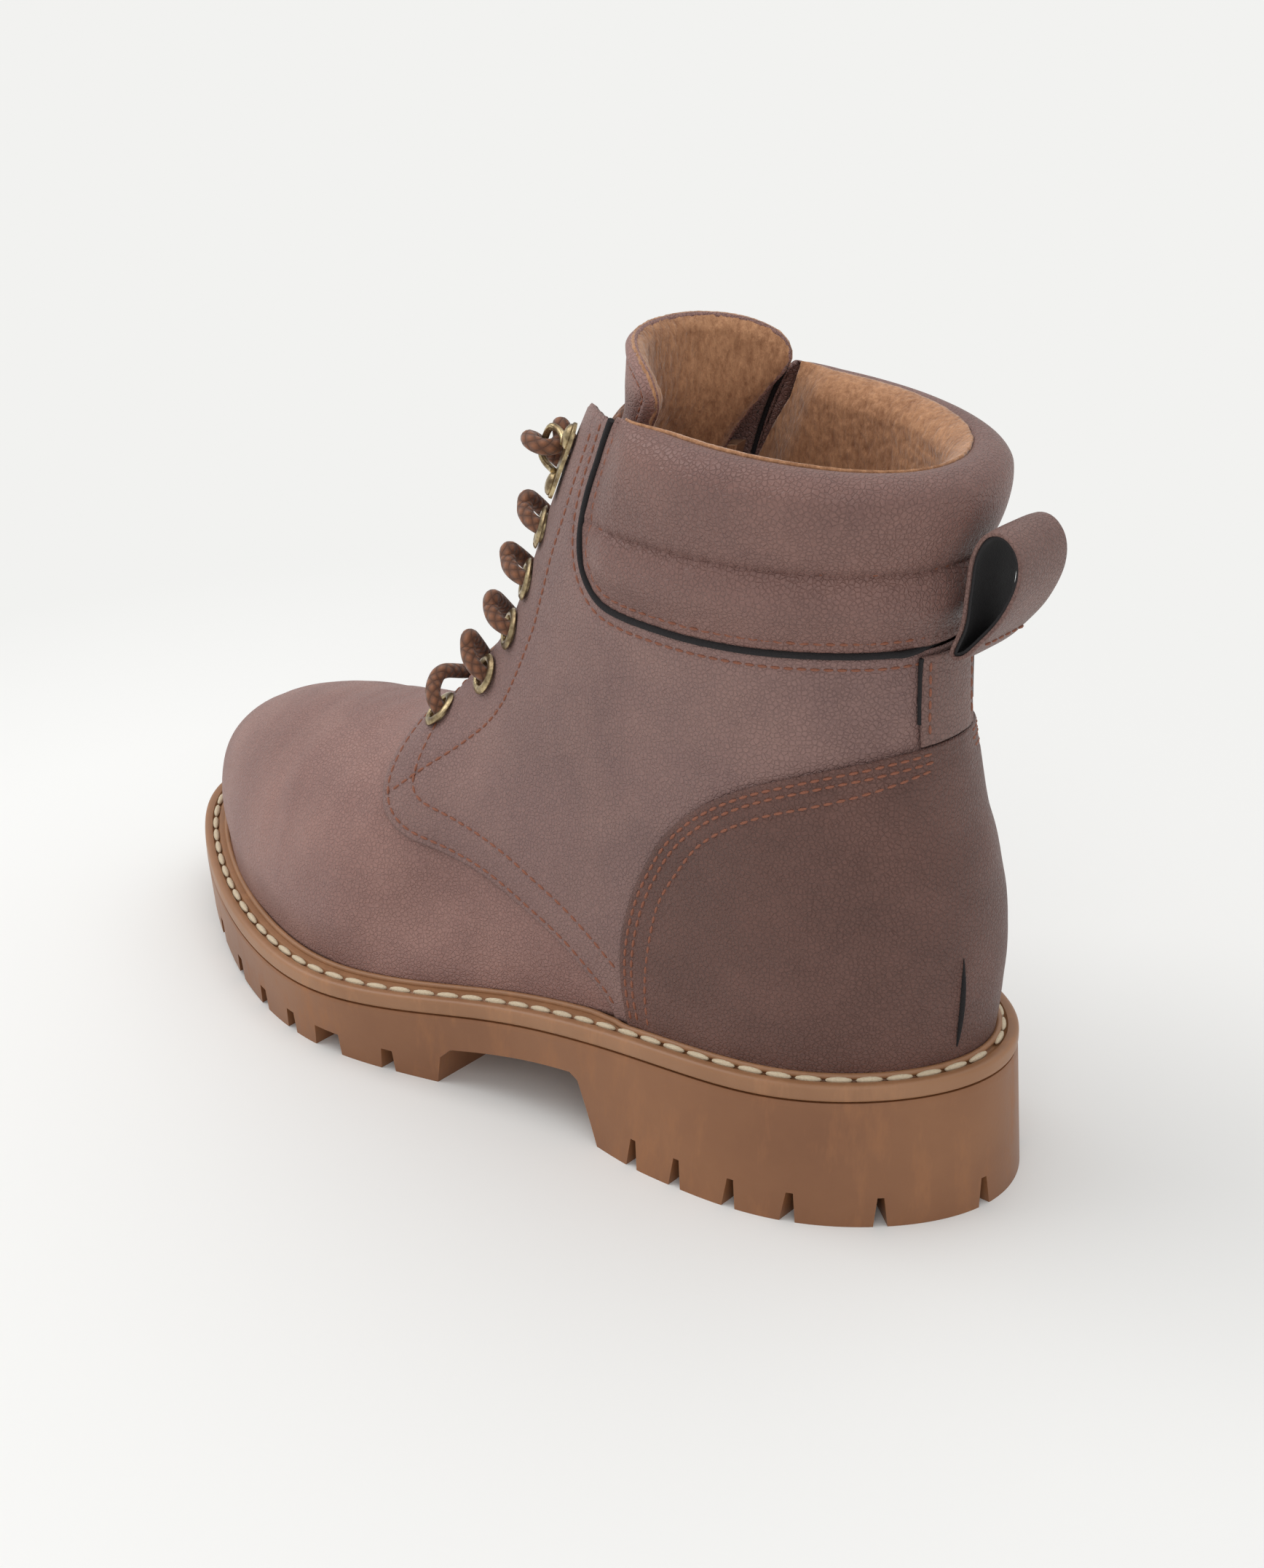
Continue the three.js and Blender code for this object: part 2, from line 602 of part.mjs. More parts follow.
const half = (side, gap) => (side > 0 ? box(gap, 150, -FAR, FAR, -10, FAR)
  : box(-150, -gap, -FAR, FAR, -10, FAR));
const frontOpening = (gap) => box(-gap, gap, -FAR, gradeY(-35), gradeZ(72), FAR);


const vamp = () => layer(LOW, [-LEATHER, 0]).intersect(vampArea(vampEnd, 0));
const toePuff = () => layer(rows(0.5, 6), PUFF).intersect(prism([[-FAR, 0], [gradeY(-206), 0],
  [gradeY(-214), FAR], [-FAR, FAR]]));

// ---- eyelets: places found on the last at a fixed distance from the centre plane
function frontPlace(x, z, side) {
  let a = ridgeY(z);
  let b = a + 60;
  for (let i = 0; i < 40; i++) {
    const mid = (a + b) / 2;
    if (halfWidth(mid, z) < x) a = mid;
    else b = mid;
  }
  const [u, turn] = locate(a, z, side);
  const out = lastNormal(u, turn);
  const inward = new THREE.Vector3(-side, 0, 0);
  inward.addScaledVector(out, -inward.dot(out)).normalize();
  const up = new THREE.Vector3().crossVectors(out, inward).multiplyScalar(side);
  return { at: onLast(u, turn), out, inward, up };
}

const EYELET_LOW = gradeZ(102);
const EYELET_HIGH = gradeZ(166);
const eyeletPlace = (k, side) => frontPlace(EYELET_X,
  lerp(EYELET_LOW, EYELET_HIGH, k / (EYELETS_PER_SIDE - 1)), side);
const hookPlace = (side) => frontPlace(EYELET_X + 3, gradeZ(187), side);

// Turns a shape drawn on the local axes (inward, up, out) into its place.
function placed(geometry, place) {
  const turn = new THREE.Matrix4().makeBasis(place.inward, place.up, place.out);
  if (turn.determinant() < 0) turn.makeBasis(place.inward.clone().negate(), place.up, place.out);
  return geometry.applyMatrix4(turn.setPosition(place.at));
}

const SIDES = 8;

function eyeletHoles(side) {
  const cuts = [];
  for (let k = 0; k < EYELETS_PER_SIDE; k++) {
    const pin = new THREE.CylinderGeometry(EYELET_HOLE / 2 + EYELET_WALL + GAP,
      EYELET_HOLE / 2 + EYELET_WALL + GAP, 12, SIDES).rotateX(Math.PI / 2);
    cuts.push(toSolid(placed(pin, eyeletPlace(k, side))));
  }
  return cuts.reduce((a, b) => a.add(b));
}

const FLANGE_LOW = QUARTER[1] + 0.6;
const FLANGE_THICK = 0.8;
const BARREL_END = -STIFFENER - 0.6;

function eyelet(k, side) {
  const bore = EYELET_HOLE / 2;
  const skin = bore + EYELET_WALL;
  const rim = EYELET_OUTER / 2;
  const top = FLANGE_LOW + FLANGE_THICK;
  const profile = [[bore, BARREL_END], [skin, BARREL_END], [skin, FLANGE_LOW], [rim, FLANGE_LOW],
    [rim - 0.8, top], [bore, top], [bore, BARREL_END]];
  const lathe = new THREE.LatheGeometry(profile.map(([r, h]) => new THREE.Vector2(r, h)), SIDES);
  return toSolid(placed(lathe.rotateX(Math.PI / 2), eyeletPlace(k, side)));
}

function quarter(side) {
  return layer(ALL, QUARTER)
    .subtract(vampArea(vampSeam, 0))
    .subtract(collarArea(-PIPING_DIA / 2 - GAP))
    .intersect(half(side, GAP))
    .subtract(frontOpening(FACING_HALF_GAP))
    .subtract(eyeletHoles(side));
}

function facing(side) {
  return layer(ALL, [-STIFFENER, 0])
    .intersect(facingArea(0))
    .subtract(throatArea(-1))
    .subtract(vampArea(vampEnd, SEAM))
    .intersect(half(side, GAP))
    .subtract(frontOpening(FACING_HALF_GAP))
    .subtract(eyeletHoles(side));
}

const counter = () => layer(rows(0, 11), OVERLAY).intersect(counterArea(0));
const stiffener = () => layer(rows(0.5, 10), [-STIFFENER, 0]).intersect(counterArea(-9));
const backstay = () => layer(rows(8, SEAM_STATION), OVERLAY)
  .subtract(counterArea(SEAM))
  .subtract(collarArea(-PIPING_DIA / 2 - GAP))
  .intersect(box(-STRAP_WIDTH / 2, STRAP_WIDTH / 2, 0, 80, STRAP_BASE_Z, FAR));

const aboveBoard = () => band((y) => weltTop(y) + GAP, () => FAR);

// Padding and lining share one split line at the throat.
const frontLayer = (span) => layer(rows(0, 9), span).intersect(throatArea(-SEAM))
  .intersect(aboveBoard());
const sideLayer = (span, side) => layer(LOW, span)
  .subtract(throatArea(0))
  .subtract(tongueArea(-3))
  .subtract(collarArea(-SEAM))
  .intersect(aboveBoard())
  .intersect(half(side, GAP));

// ---- collar: two rolls with a stitched channel between them
const CHANNEL = 13.1;             // the channel's station
const COLLAR_ROWS = [SEAM_STATION - 0.6, SEAM_STATION, 12.3, 12.7, CHANNEL, 13.5, 14, 14.5, TOP_STATION];
const collarFront = byZ([[157, -48], [160, -56], [166, -61], [175, -62], [186, -59.5], [198, -55],
  [208, -50], [220, -45]]);

function bulge(u, turn) {
  const { y, z } = onLast(u, turn);
  const lower = Math.max(0, Math.sin(Math.PI * smooth(SEAM_STATION, CHANNEL, u))) * COLLAR_BULGE * 0.75;
  const upper = u > CHANNEL ? Math.sin(Math.PI * ((u - CHANNEL) / (TOP_STATION + 0.5 - CHANNEL))) : 0;
  const fade = smooth(0, 14, y - collarFront(z));
  return fade * (u > CHANNEL ? upper * COLLAR_BULGE : lower);
}

const FOAM_INNER = PADDING[1] - COLLAR_FOAM + 1;
const coverOuter = (u, turn) => QUARTER[1] + bulge(u, turn);
const collarShell = (inner, outer, front) => ring(COLLAR_ROWS, inner, outer)
  .intersect(collarArea(front))
  .subtract(frontOpening(FACING_HALF_GAP));
const collarCover = () => collarShell((u, t) => coverOuter(u, t) - LEATHER, coverOuter,
  PIPING_DIA / 2 + GAP);
const collarFoam = (low, high) => collarShell(even(FOAM_INNER), (u, t) => coverOuter(u, t) - LEATHER - GAP,
  6).intersect(box(-150, 150, -FAR, FAR, low, high));
const collarLining = () => collarShell(even(FOAM_INNER - GAP - LINING), even(FOAM_INNER - GAP), 3);

const PIPING_LIFT = 1;
function collarPiping() {
  const front = collarSeam.filter(([y, z]) => z < gradeZ(207) && y < 20);
  const across = [14, 7, 0, -7, -14].map((x) => {
    const z = gradeZ(157.7);
    const y = rearY(z) - (x * x) / 52;
    return sidePoint(y, z, PIPING_LIFT, Math.sign(x) || 1);
  });
  const points = [...front.map(([y, z]) => sidePoint(y, z, PIPING_LIFT, 1)), ...across,
    ...front.reverse().map(([y, z]) => sidePoint(y, z, PIPING_LIFT, -1))];
  return tube(points, PIPING_DIA / 2 - 0.05, 6);
}

// ---- tongue: leather, foam and pile, on stations that run above the collar
const TONGUE_ROWS = [6, 7, 8, 9.5, 11, 12.5, 14, 15, 15.6, TONGUE_TOP];
const flared = (offset) => (u) => offset + TONGUE_FLARE * smooth(14.6, 15.8, u);
function tongueLayer(outer, thick) {
  return ring(TONGUE_ROWS, flared(outer - thick), flared(outer))
    .intersect(tongueArea(0))
    .subtract(throatArea(2));
}
const TONGUE_FOAM_TOP = -TONGUE_DROP - LEATHER - GAP;
const TONGUE_PILE_TOP = TONGUE_FOAM_TOP - TONGUE_FOAM - GAP;

// ---- pull tab: a folded strap standing off the heel
const TAB_LOOP = [[33.4, 158.2], [36, 166], [36.8, 175], [37.8, 184], [41.2, 189.6], [46.2, 190.2],
  [50, 186], [50.2, 179], [46.4, 170], [40.5, 162.2], [36.4, 158]];

function pullTab() {
  const curve = new THREE.SplineCurve([...TAB_LOOP, TAB_LOOP[0]].map(([y, z]) => new THREE.Vector2(
    rearY(gradeZ(158)) - 26 + y, gradeZ(158) + z - 158)));
  const line = curve.getSpacedPoints(26).map((p) => [p.x, p.y]).slice(0, -1);
  const closed = (d) => line.map(([y, z], i) => {
    const [y0, z0] = line[(i + line.length - 1) % line.length];
    const [y1, z1] = line[(i + 1) % line.length];
    const length = Math.hypot(y1 - y0, z1 - z0);
    return [y - (d * (z1 - z0)) / length, z + (d * (y1 - y0)) / length];
  });
  const x = STRAP_WIDTH / 2;
  return prism(closed(STRAP_THICK / 2), -x, x).subtract(prism(closed(-STRAP_THICK / 2), -x - 1, x + 1));
}

// ---- speed hooks: a riveted plate with a raised D-shaped bar
function hookPlate(side) {
  const [long, wide, thick] = HOOK_PLATE;
  const outline = new THREE.Shape();
  const r = wide / 2;
  outline.absarc(0, long / 2 - r, r, 0, Math.PI, false);
  outline.absarc(0, r - long / 2, r, Math.PI, 2 * Math.PI, false);
  const plate = new THREE.ExtrudeGeometry(outline, { depth: thick, bevelEnabled: false, curveSegments: 5 });
  plate.translate(0, 0, PLATE_LOW);
  const body = toSolid(placed(plate, hookPlace(side)));
  return rivetDrill(side, RIVET_DIA / 4 + GAP).reduce((b, pin) => b.subtract(pin), body);
}
const PLATE_LOW = QUARTER[1] + 0.8;
const RIVET_STEP = 7.5;
const rivetDrill = (side, radius) => [-1, 1].map((end) => {
  const pin = new THREE.CylinderGeometry(radius, radius, 9, 8).rotateX(Math.PI / 2);
  pin.translate(0, end * RIVET_STEP, PLATE_LOW);
  return toSolid(placed(pin, hookPlace(side)));
});

function rivet(side, end) {
  const top = PLATE_LOW + HOOK_PLATE[2] + GAP;
  const head = RIVET_DIA / 2;
  const shaft = RIVET_DIA / 4;
  const profile = [[0, QUARTER[1] + 0.4], [shaft, QUARTER[1] + 0.4], [shaft, top], [head, top],
    [head * 0.8, top + 0.8], [head * 0.4, top + 1.2], [0, top + 1.3]];
  const lathe = new THREE.LatheGeometry(profile.map(([r, h]) => new THREE.Vector2(r, h)), 8);
  lathe.rotateX(Math.PI / 2).translate(0, end * RIVET_STEP, 0);
  return toSolid(placed(lathe, hookPlace(side)));
}

// A point in a place's own directions: inward, up the eyestay, and out from the leather.
const local = (place, inward, up, out) => place.at.clone().addScaledVector(place.inward, inward)
  .addScaledVector(place.up, up).addScaledVector(place.out, out);

const HOOK_REACH = 8;             // plate's middle to the bar
function hookBar(side) {
  const place = hookPlace(side);
  const foot = PLATE_LOW + HOOK_PLATE[2] + HOOK_WIRE / 2 + GAP;
  const steps = [[1, -4.2, foot], [3.5, -5, foot + 1], [HOOK_REACH - 1.6, -4.6, HOOK_BAR_HEIGHT - 0.6],
    [HOOK_REACH - 0.3, -3.2, HOOK_BAR_HEIGHT], [HOOK_REACH, 0, HOOK_BAR_HEIGHT]];
  const mirror = steps.slice(0, -1).reverse().map(([i, u, o]) => [i, -u, o]);
  return tube([...steps, ...mirror].map(([i, u, o]) => local(place, i, u, o)), HOOK_WIRE / 2, 6);
}

// ---- lace: laced through every pair of eyelets, round the hooks, its ends tucked inside
const LACE_TURN = 6.4;           // radius of the turn round the eyestay's edge
const LACE_MID = 1.2;
const LACE_IN = -0.3;

function eyeletTurn(k, side) {
  const place = eyeletPlace(k, side);
  const points = [local(place, 10.6, -1.5, LACE_MID + LACE_TURN * 0.86)];
  for (let i = 0; i <= 4; i++) {
    const a = Math.PI / 2 + (i * Math.PI) / 4;
    const inward = LACE_IN + LACE_TURN + LACE_TURN * Math.cos(a);
    points.push(local(place, inward, (i - 2) * 0.35, LACE_MID + LACE_TURN * Math.sin(a)));
  }
  points.push(local(place, 10.2, 1.5, LACE_MID - LACE_TURN - 1.6));
  return points;
}

function crossing(z, lift) {
  const u = stationWhere(frontZ, z, 0, TONGUE_TOP + 1);
  return offLast(u, Math.PI, lift);
}

function halfLace(side) {
  const points = [];
  let at = side;
  for (let k = 0; k < EYELETS_PER_SIDE; k++) {
    points.push(...eyeletTurn(k, at));
    const z = lerp(EYELET_LOW, EYELET_HIGH, (k + 0.5) / (EYELETS_PER_SIDE - 1));
    points.push(crossing(z, side > 0 ? 2.4 : -2.9));
    at = -at;
  }
  const hook = hookPlace(at);
  points.push(...[[HOOK_REACH + 4, -2.5, 4.5], [HOOK_REACH, -1.4, 4.3], [HOOK_REACH - 3, -0.6, 5.4],
    [HOOK_REACH - 4.3, 0, HOOK_BAR_HEIGHT], [HOOK_REACH - 3, 0.6, 11.2], [HOOK_REACH, 1.4, 12.3],
    [HOOK_REACH + 4, 4, 10], [HOOK_REACH + 7.5, 8, 5], [HOOK_REACH + 8.3, 11, 0],
    [HOOK_REACH + 7, 13.5, -5], [HOOK_REACH + 1.5, 14.5, -6.2]].map(([i, u, o]) => local(hook, i, u, o)));
  points.push(...TAIL_Z.map((z) => tailPoint(z, at)));
  return points;
}

// The free ends are tucked down between the eyestay and the tongue.
const TAIL_X = EYELET_X + 7;
const TAIL_DEPTH = -5;
const TAIL_Z = [198, 190, 182, 174, 166].map(gradeZ);
const AGLET_Z = [165.4, 157, 149].map(gradeZ);
const tailPoint = (z, side) => {
  const place = frontPlace(TAIL_X, z, side);
  return local(place, 0, 0, TAIL_DEPTH);
};
const aglet = (side) => tube(AGLET_Z.map((z) => tailPoint(z, side)), AGLET_DIA / 2, 8);

function lace() {
  const left = halfLace(1);
  const right = halfLace(-1);
  const start = eyeletPlace(0, 1).at.clone().add(eyeletPlace(0, -1).at).multiplyScalar(0.5);
  start.y -= 6;
  start.z += 6.5;
  return tube([...left.reverse(), start, ...right], LACE_DIA / 2, 8);
}

add('vamp', vamp(), 'leather');
add('toe_puff', toePuff(), 'plastic');
add('heel_counter', counter(), 'overlay');
add('heel_stiffener', stiffener(), 'plastic');
add('backstay', backstay(), 'leather');
add('pull_tab', pullTab(), 'leather');
add('padding_front', frontLayer(PADDING), 'batting');
add('lining_front', frontLayer(INNER), 'pile');
for (const [name, side] of [['lateral', 1], ['medial', -1]]) {
  add(`quarter_${name}`, quarter(side), 'leather');
  add(`facing_${name}`, facing(side), 'board');
  add(`padding_${name}`, sideLayer(PADDING, side), 'batting');
  add(`lining_${name}`, sideLayer(INNER, side), 'pile');
  for (let k = 0; k < EYELETS_PER_SIDE; k++) add(`eyelet_${name}_${k + 1}`, eyelet(k, side), 'brass');
  add(`hook_plate_${name}`, hookPlate(side), 'brass');
  add(`hook_bar_${name}`, hookBar(side), 'brass');
  add(`hook_rivet_${name}_lower`, rivet(side, -1), 'brass');
  add(`hook_rivet_${name}_upper`, rivet(side, 1), 'brass');
}
add('collar_cover', collarCover(), 'leather');
add('collar_foam_lower', collarFoam(0, CHANNEL_Z - GAP / 2), 'foam');
add('collar_foam_upper', collarFoam(CHANNEL_Z + GAP / 2, FAR), 'foam');
add('collar_lining', collarLining(), 'pile');
add('collar_piping', collarPiping(), 'piping');
add('tongue', tongueLayer(-TONGUE_DROP, LEATHER), 'leather');
add('tongue_foam', tongueLayer(TONGUE_FOAM_TOP, TONGUE_FOAM), 'foam');
add('tongue_lining', tongueLayer(TONGUE_PILE_TOP, LINING), 'pile');
add('lace', lace(), 'lace');
add('aglet_lateral', aglet(1), 'piping');
add('aglet_medial', aglet(-1), 'piping');

export default group;
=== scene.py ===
"""A left insulated lace-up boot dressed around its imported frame.

The toe points along -Y and +X is the outer side. Shapes are worked out in millimetres.
"""
import logging
import math
from dataclasses import dataclass
from enum import Enum
from typing import Callable, Optional, Sequence

import bmesh
import bpy
import numpy as np
from mathutils import Matrix, Vector, noise


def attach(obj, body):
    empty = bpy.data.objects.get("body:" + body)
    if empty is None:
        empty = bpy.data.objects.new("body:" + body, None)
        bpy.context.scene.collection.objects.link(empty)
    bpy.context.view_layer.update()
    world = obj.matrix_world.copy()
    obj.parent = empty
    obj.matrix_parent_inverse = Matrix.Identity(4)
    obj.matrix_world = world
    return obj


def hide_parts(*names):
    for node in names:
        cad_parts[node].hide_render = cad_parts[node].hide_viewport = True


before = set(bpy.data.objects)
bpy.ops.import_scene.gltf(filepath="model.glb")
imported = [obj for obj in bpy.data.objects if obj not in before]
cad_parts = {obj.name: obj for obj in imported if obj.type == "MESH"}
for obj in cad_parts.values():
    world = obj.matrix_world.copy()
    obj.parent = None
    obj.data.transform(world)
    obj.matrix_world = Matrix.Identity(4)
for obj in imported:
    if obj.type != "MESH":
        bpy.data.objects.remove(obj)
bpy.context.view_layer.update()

MM = 0.001
TO_METRES = Matrix.Scale(MM, 4)
SPAN_STEPS = 14
HALVINGS = 34
LOG = logging.getLogger("boot")
Array = np.ndarray
Knots = Sequence[tuple[float, float]]
Field = Callable[[Array, Array], Array]


# ---------------------------------------------------------------- small maths
def lerp(a: Array, b: Array, t: Array) -> Array:
    """Linear blend of a and b."""
    return a + (b - a) * t


def smooth(a: float, b: float, v: Array) -> Array:
    """Smooth step from 0 at a to 1 at b."""
    t = np.clip((v - a) / (b - a), 0, 1)
    return t * t * (3 - 2 * t)


def bell(v: Array, reach: float) -> Array:
    """A bump of height 1 where v is 0."""
    return np.exp(-((v / reach) ** 2))


def oval(t: Array, power: float) -> Array:
    """Superellipse height at t from its middle (0) to its end (1)."""
    return np.maximum(0, 1 - np.clip(t, 0, 1) ** power) ** (1 / power)


def spaced(points: Array, count: int, closed: bool = False) -> Array:
    """Points at even steps along a smooth curve through the given ones.

    Args:
        points: the curve's points, one per row.
        count: how many points come back.
        closed: whether the curve joins up.

    Returns:
        The resampled points.
    """
    p = np.asarray(points, float)
    ends = (p[-1:], p[:2]) if closed else (2 * p[:1] - p[1:2], 2 * p[-1:] - p[-2:-1])
    q = np.vstack([ends[0], p, ends[1]])
    t = np.linspace(0, 1, SPAN_STEPS, endpoint=False)[:, None]
    runs = []
    for a, b, c, d in zip(q[:-3], q[1:-2], q[2:-1], q[3:]):
        runs.append(0.5 * (2 * b + (c - a) * t + (2 * a - 5 * b + 4 * c - d) * t**2
                           + (3 * b - a - 3 * c + d) * t**3))
    fine = np.vstack([*runs, q[-2:-1]])
    length = np.concatenate([[0], np.cumsum(np.linalg.norm(np.diff(fine, axis=0), axis=1))])
    at = np.linspace(0, length[-1], count, endpoint=not closed)
    return np.stack([np.interp(at, length, fine[:, k]) for k in range(fine.shape[1])], axis=1)


class Spline:
    """A natural cubic through knots, straight beyond both ends."""

    def __init__(self, knots: Knots) -> None:
        """Solves the curve's bends from its knots."""
        self.x, self.y = (np.array([k[i] for k in knots], float) for i in (0, 1))
        n, h = len(knots), np.diff(self.x)
        rows, right = np.eye(n), np.zeros(n)
        slope = np.diff(self.y) / h
        for i in range(1, n - 1):
            rows[i, i - 1:i + 2] = h[i - 1], 2 * (h[i - 1] + h[i]), h[i]
            right[i] = 6 * (slope[i] - slope[i - 1])
        self.m = np.linalg.solve(rows, right)
        self.first = slope[0] - h[0] * self.m[1] / 6
        self.last = slope[-1] + h[-1] * self.m[-2] / 6

    def __call__(self, v: Array) -> Array:
        """The curve's value at v."""
        v = np.asarray(v, float)
        i = np.clip(np.searchsorted(self.x, v) - 1, 0, len(self.x) - 2)
        h = self.x[i + 1] - self.x[i]
        a = (self.x[i + 1] - v) / h
        b = 1 - a
        inner = a * self.y[i] + b * self.y[i + 1] + (
            (a**3 - a) * self.m[i] + (b**3 - b) * self.m[i + 1]) * h * h / 6
        low = self.y[0] + (v - self.x[0]) * self.first
        high = self.y[-1] + (v - self.x[-1]) * self.last
        return np.where(v < self.x[0], low, np.where(v > self.x[-1], high, inner))


# ---------------------------------------------------------------- the last
class Last:
    """The boot's base surface: station u up from the sole's edge, and a turn round it, 0 at the back."""

    SOLE_LENGTH, SOLE_WIDTH, HEEL_BACK = 313.0, 118.0, 46.0
    MIDDLE = HEEL_BACK - SOLE_LENGTH / 2
    REVEAL, BULGE = 9.5, 2.0
    TOP_STATION, TABLE_ROWS = 17, 3401
    SHAFT_POWER, FOOT_POWER = 2.1, 2.15
    FEATHER = 9
    WALL_FRONT, WALL_REAR = 16, 34
    NORMAL_STEP = 0.03
    EDGE = 1e-6
    FRONT = ((-257.5, 31), (-259, 41), (-255, 52), (-246, 63), (-230, 73.5), (-206, 82.5), (-176, 89.5),
             (-150, 95.5), (-133, 105), (-121, 119), (-111.5, 133), (-104, 147), (-99, 158), (-91, 176),
             (-82, 194), (-75, 210), (-72, 234))
    BACK = ((36.5, 42.5), (37.5, 52), (38, 63), (38, 72), (37.5, 81), (36, 90), (34.5, 98), (32, 106),
            (30, 115), (28, 126), (26.5, 137), (26, 148), (26, 157), (28, 177), (29, 192), (27, 203),
            (22, 226))

    def __init__(self) -> None:
        """Builds the curves and their look-up tables."""
        self.plan_width = Spline(((-267, 62), (-240, 63), (-210, 62), (-180, 61), (-150, 58.5), (-118, 52),
                                  (-90, 46), (-58, 47), (-20, 56), (14, 67), (46, 70)))
        self.centre = Spline(((-267, -16), (-240, -13), (-210, -6.5), (-180, -0.5), (-150, 3), (-118, 2.5),
                              (-58, 0.5), (-20, -1.5), (14, -4.5), (46, -7)))
        self.welt_top = Spline(((-267, 32), (-230, 27.5), (-190, 25), (-150, 25), (-118, 27.5), (-85, 32),
                                (-45, 37.5), (0, 40.5), (46, 43)))
        self.shaft_half = Spline(((43, 37.5), (60, 37.5), (80, 37.5), (100, 37), (120, 36.5), (140, 37),
                                  (157, 38), (180, 39.5), (205, 40.5), (232, 40)))
        self.shaft_mid = Spline(((43, -15), (100, -25), (157, -35), (205, -24), (232, -20)))
        self.toe_spring = Spline(((-267, 11), (-235, 5), (-205, 1.5), (-180, 0), (-108, 0)))
        self.front_y, self.front_z, self.back_y, self.back_z = (
            Spline([(i, p[k]) for i, p in enumerate(rows)])
            for rows in (self.FRONT, self.BACK) for k in (0, 1))
        u = np.linspace(0, self.TOP_STATION, self.TABLE_ROWS)
        self.u = u
        self.table = {name: np.maximum.accumulate(curve(u)) for name, curve in
                      (("front_z", self.front_z), ("back_z", self.back_z))}
        ahead = u >= 1
        self.ahead = np.maximum.accumulate(self.front_y(u[ahead])), u[ahead]

    def station(self, z: Array) -> Array:
        """The station whose front point is at height z."""
        return np.interp(z, self.table["front_z"], self.u)

    def ridge_y(self, z: Array) -> Array:
        """The front edge's y at height z."""
        return self.front_y(self.station(z))

    def ridge_z(self, y: Array) -> Array:
        """The front edge's height at y."""
        return self.front_z(np.interp(y, *self.ahead))

    def rear_y(self, z: Array) -> Array:
        """The back edge's y at height z."""
        return self.back_y(np.interp(z, self.table["back_z"], self.u))

    def plan_half(self, y: Array, inset: float) -> Array:
        """Half the sole outline's width at y, moved in by inset."""
        c = (y - self.MIDDLE) / (self.SOLE_LENGTH / 2 - inset)
        return (self.plan_width(y) - inset) * np.sqrt(np.maximum(0, 1 - c * c))

    def half_width(self, y: Array, z: Array) -> Array:
        """Half the upper's width at a point of the side view."""
        base, rear = self.welt_top(y), smooth(-150, -100, y)
        mid, back = self.shaft_mid(z), self.rear_y(z)
        eta = (y - mid) / (back - mid)
        end = self.MIDDLE + self.SOLE_LENGTH / 2 - self.REVEAL
        along = np.minimum(np.where(y < mid, y, mid + eta * (end - mid)), end)
        plan = self.plan_half(along, self.REVEAL)
        ahead = (mid - y) / np.maximum(mid - self.ridge_y(z), 1)
        shaft = self.shaft_half(z) * oval(np.where(y > mid, eta, ahead), self.SHAFT_POWER)
        low = base + self.FEATHER
        rise = (z - low) / np.maximum(self.ridge_z(y) - low, 1)
        foot = self.plan_half(y, self.REVEAL - self.BULGE) * oval(rise, self.FOOT_POWER)
        body = rear * shaft + (1 - rear) * foot
        wall = lerp(self.WALL_FRONT, self.WALL_REAR, rear)
        t = np.clip((z - base) / wall, 0, 1)
        return lerp(plan, body, t * t * (3 - 2 * t))

    def point(self, u: Array, turn: Array) -> Array:
        """Points on the surface, in millimetres."""
        u, turn = np.broadcast_arrays(np.asarray(u, float), np.asarray(turn, float))
        t = (1 - np.cos(turn)) / 2
        y = lerp(self.back_y(u), self.front_y(u), t)
        foot = lerp(self.back_y(0.0), self.front_y(0.0), t)
        chord = lerp(self.back_z(0.0), self.front_z(0.0), t)
        flat = np.where(y < self.back_y(0.0), self.welt_top(foot), self.back_z(0.0))
        z = lerp(self.back_z(u), self.front_z(u), t) + (flat - chord) * (1 - smooth(0, 7, u))
        half = np.where((t < self.EDGE) | (t > 1 - self.EDGE), 0, self.half_width(y, z))
        skew = self.centre(y) * (1 - smooth(40, 150, z))
        return np.stack([skew + np.sign(np.sin(turn)) * half, y, z], axis=-1)

    def normal(self, u: Array, turn: Array) -> Array:
        """Outward unit normals of the surface."""
        step = self.NORMAL_STEP
        along = self.point(u, turn + step) - self.point(u, turn - step)
        up = self.point(u + step, turn) - self.point(np.maximum(0, u - step), turn)
        out = np.cross(up, along)
        out[..., 2] = np.where(u <= 0, 0, out[..., 2])
        return out / np.linalg.norm(out, axis=-1, keepdims=True)

    def off(self, u: Array, turn: Array, distance: Array) -> Array:
        """Points a distance out from the surface."""
        u, turn = np.broadcast_arrays(np.asarray(u, float), np.asarray(turn, float))
        return self.point(u, turn) + self.normal(u, turn) * np.asarray(distance, float)[..., None]

    def locate(self, y: Array, z: Array, side: int = 1) -> tuple[Array, Array]:
        """The station and turn that show at points of the side view.

        Args:
            y: the points' places along the boot.
            z: their heights.
            side: 1 for the outer side, -1 for the inner.

        Returns:
            Stations and signed turns.
        """
        y, z = np.asarray(y, float), np.asarray(z, float)
        low, high = np.zeros_like(y), np.full_like(y, self.TOP_STATION)
        for _ in range(HALVINGS):
            u = (low + high) / 2
            t = np.clip((self.back_y(u) - y) / (self.back_y(u) - self.front_y(u)), 0, 1)
            turn = np.arccos(1 - 2 * t)
            below = self.point(u, turn)[..., 2] < z
            low, high = np.where(below, u, low), np.where(below, high, u)
        return (low + high) / 2, side * turn

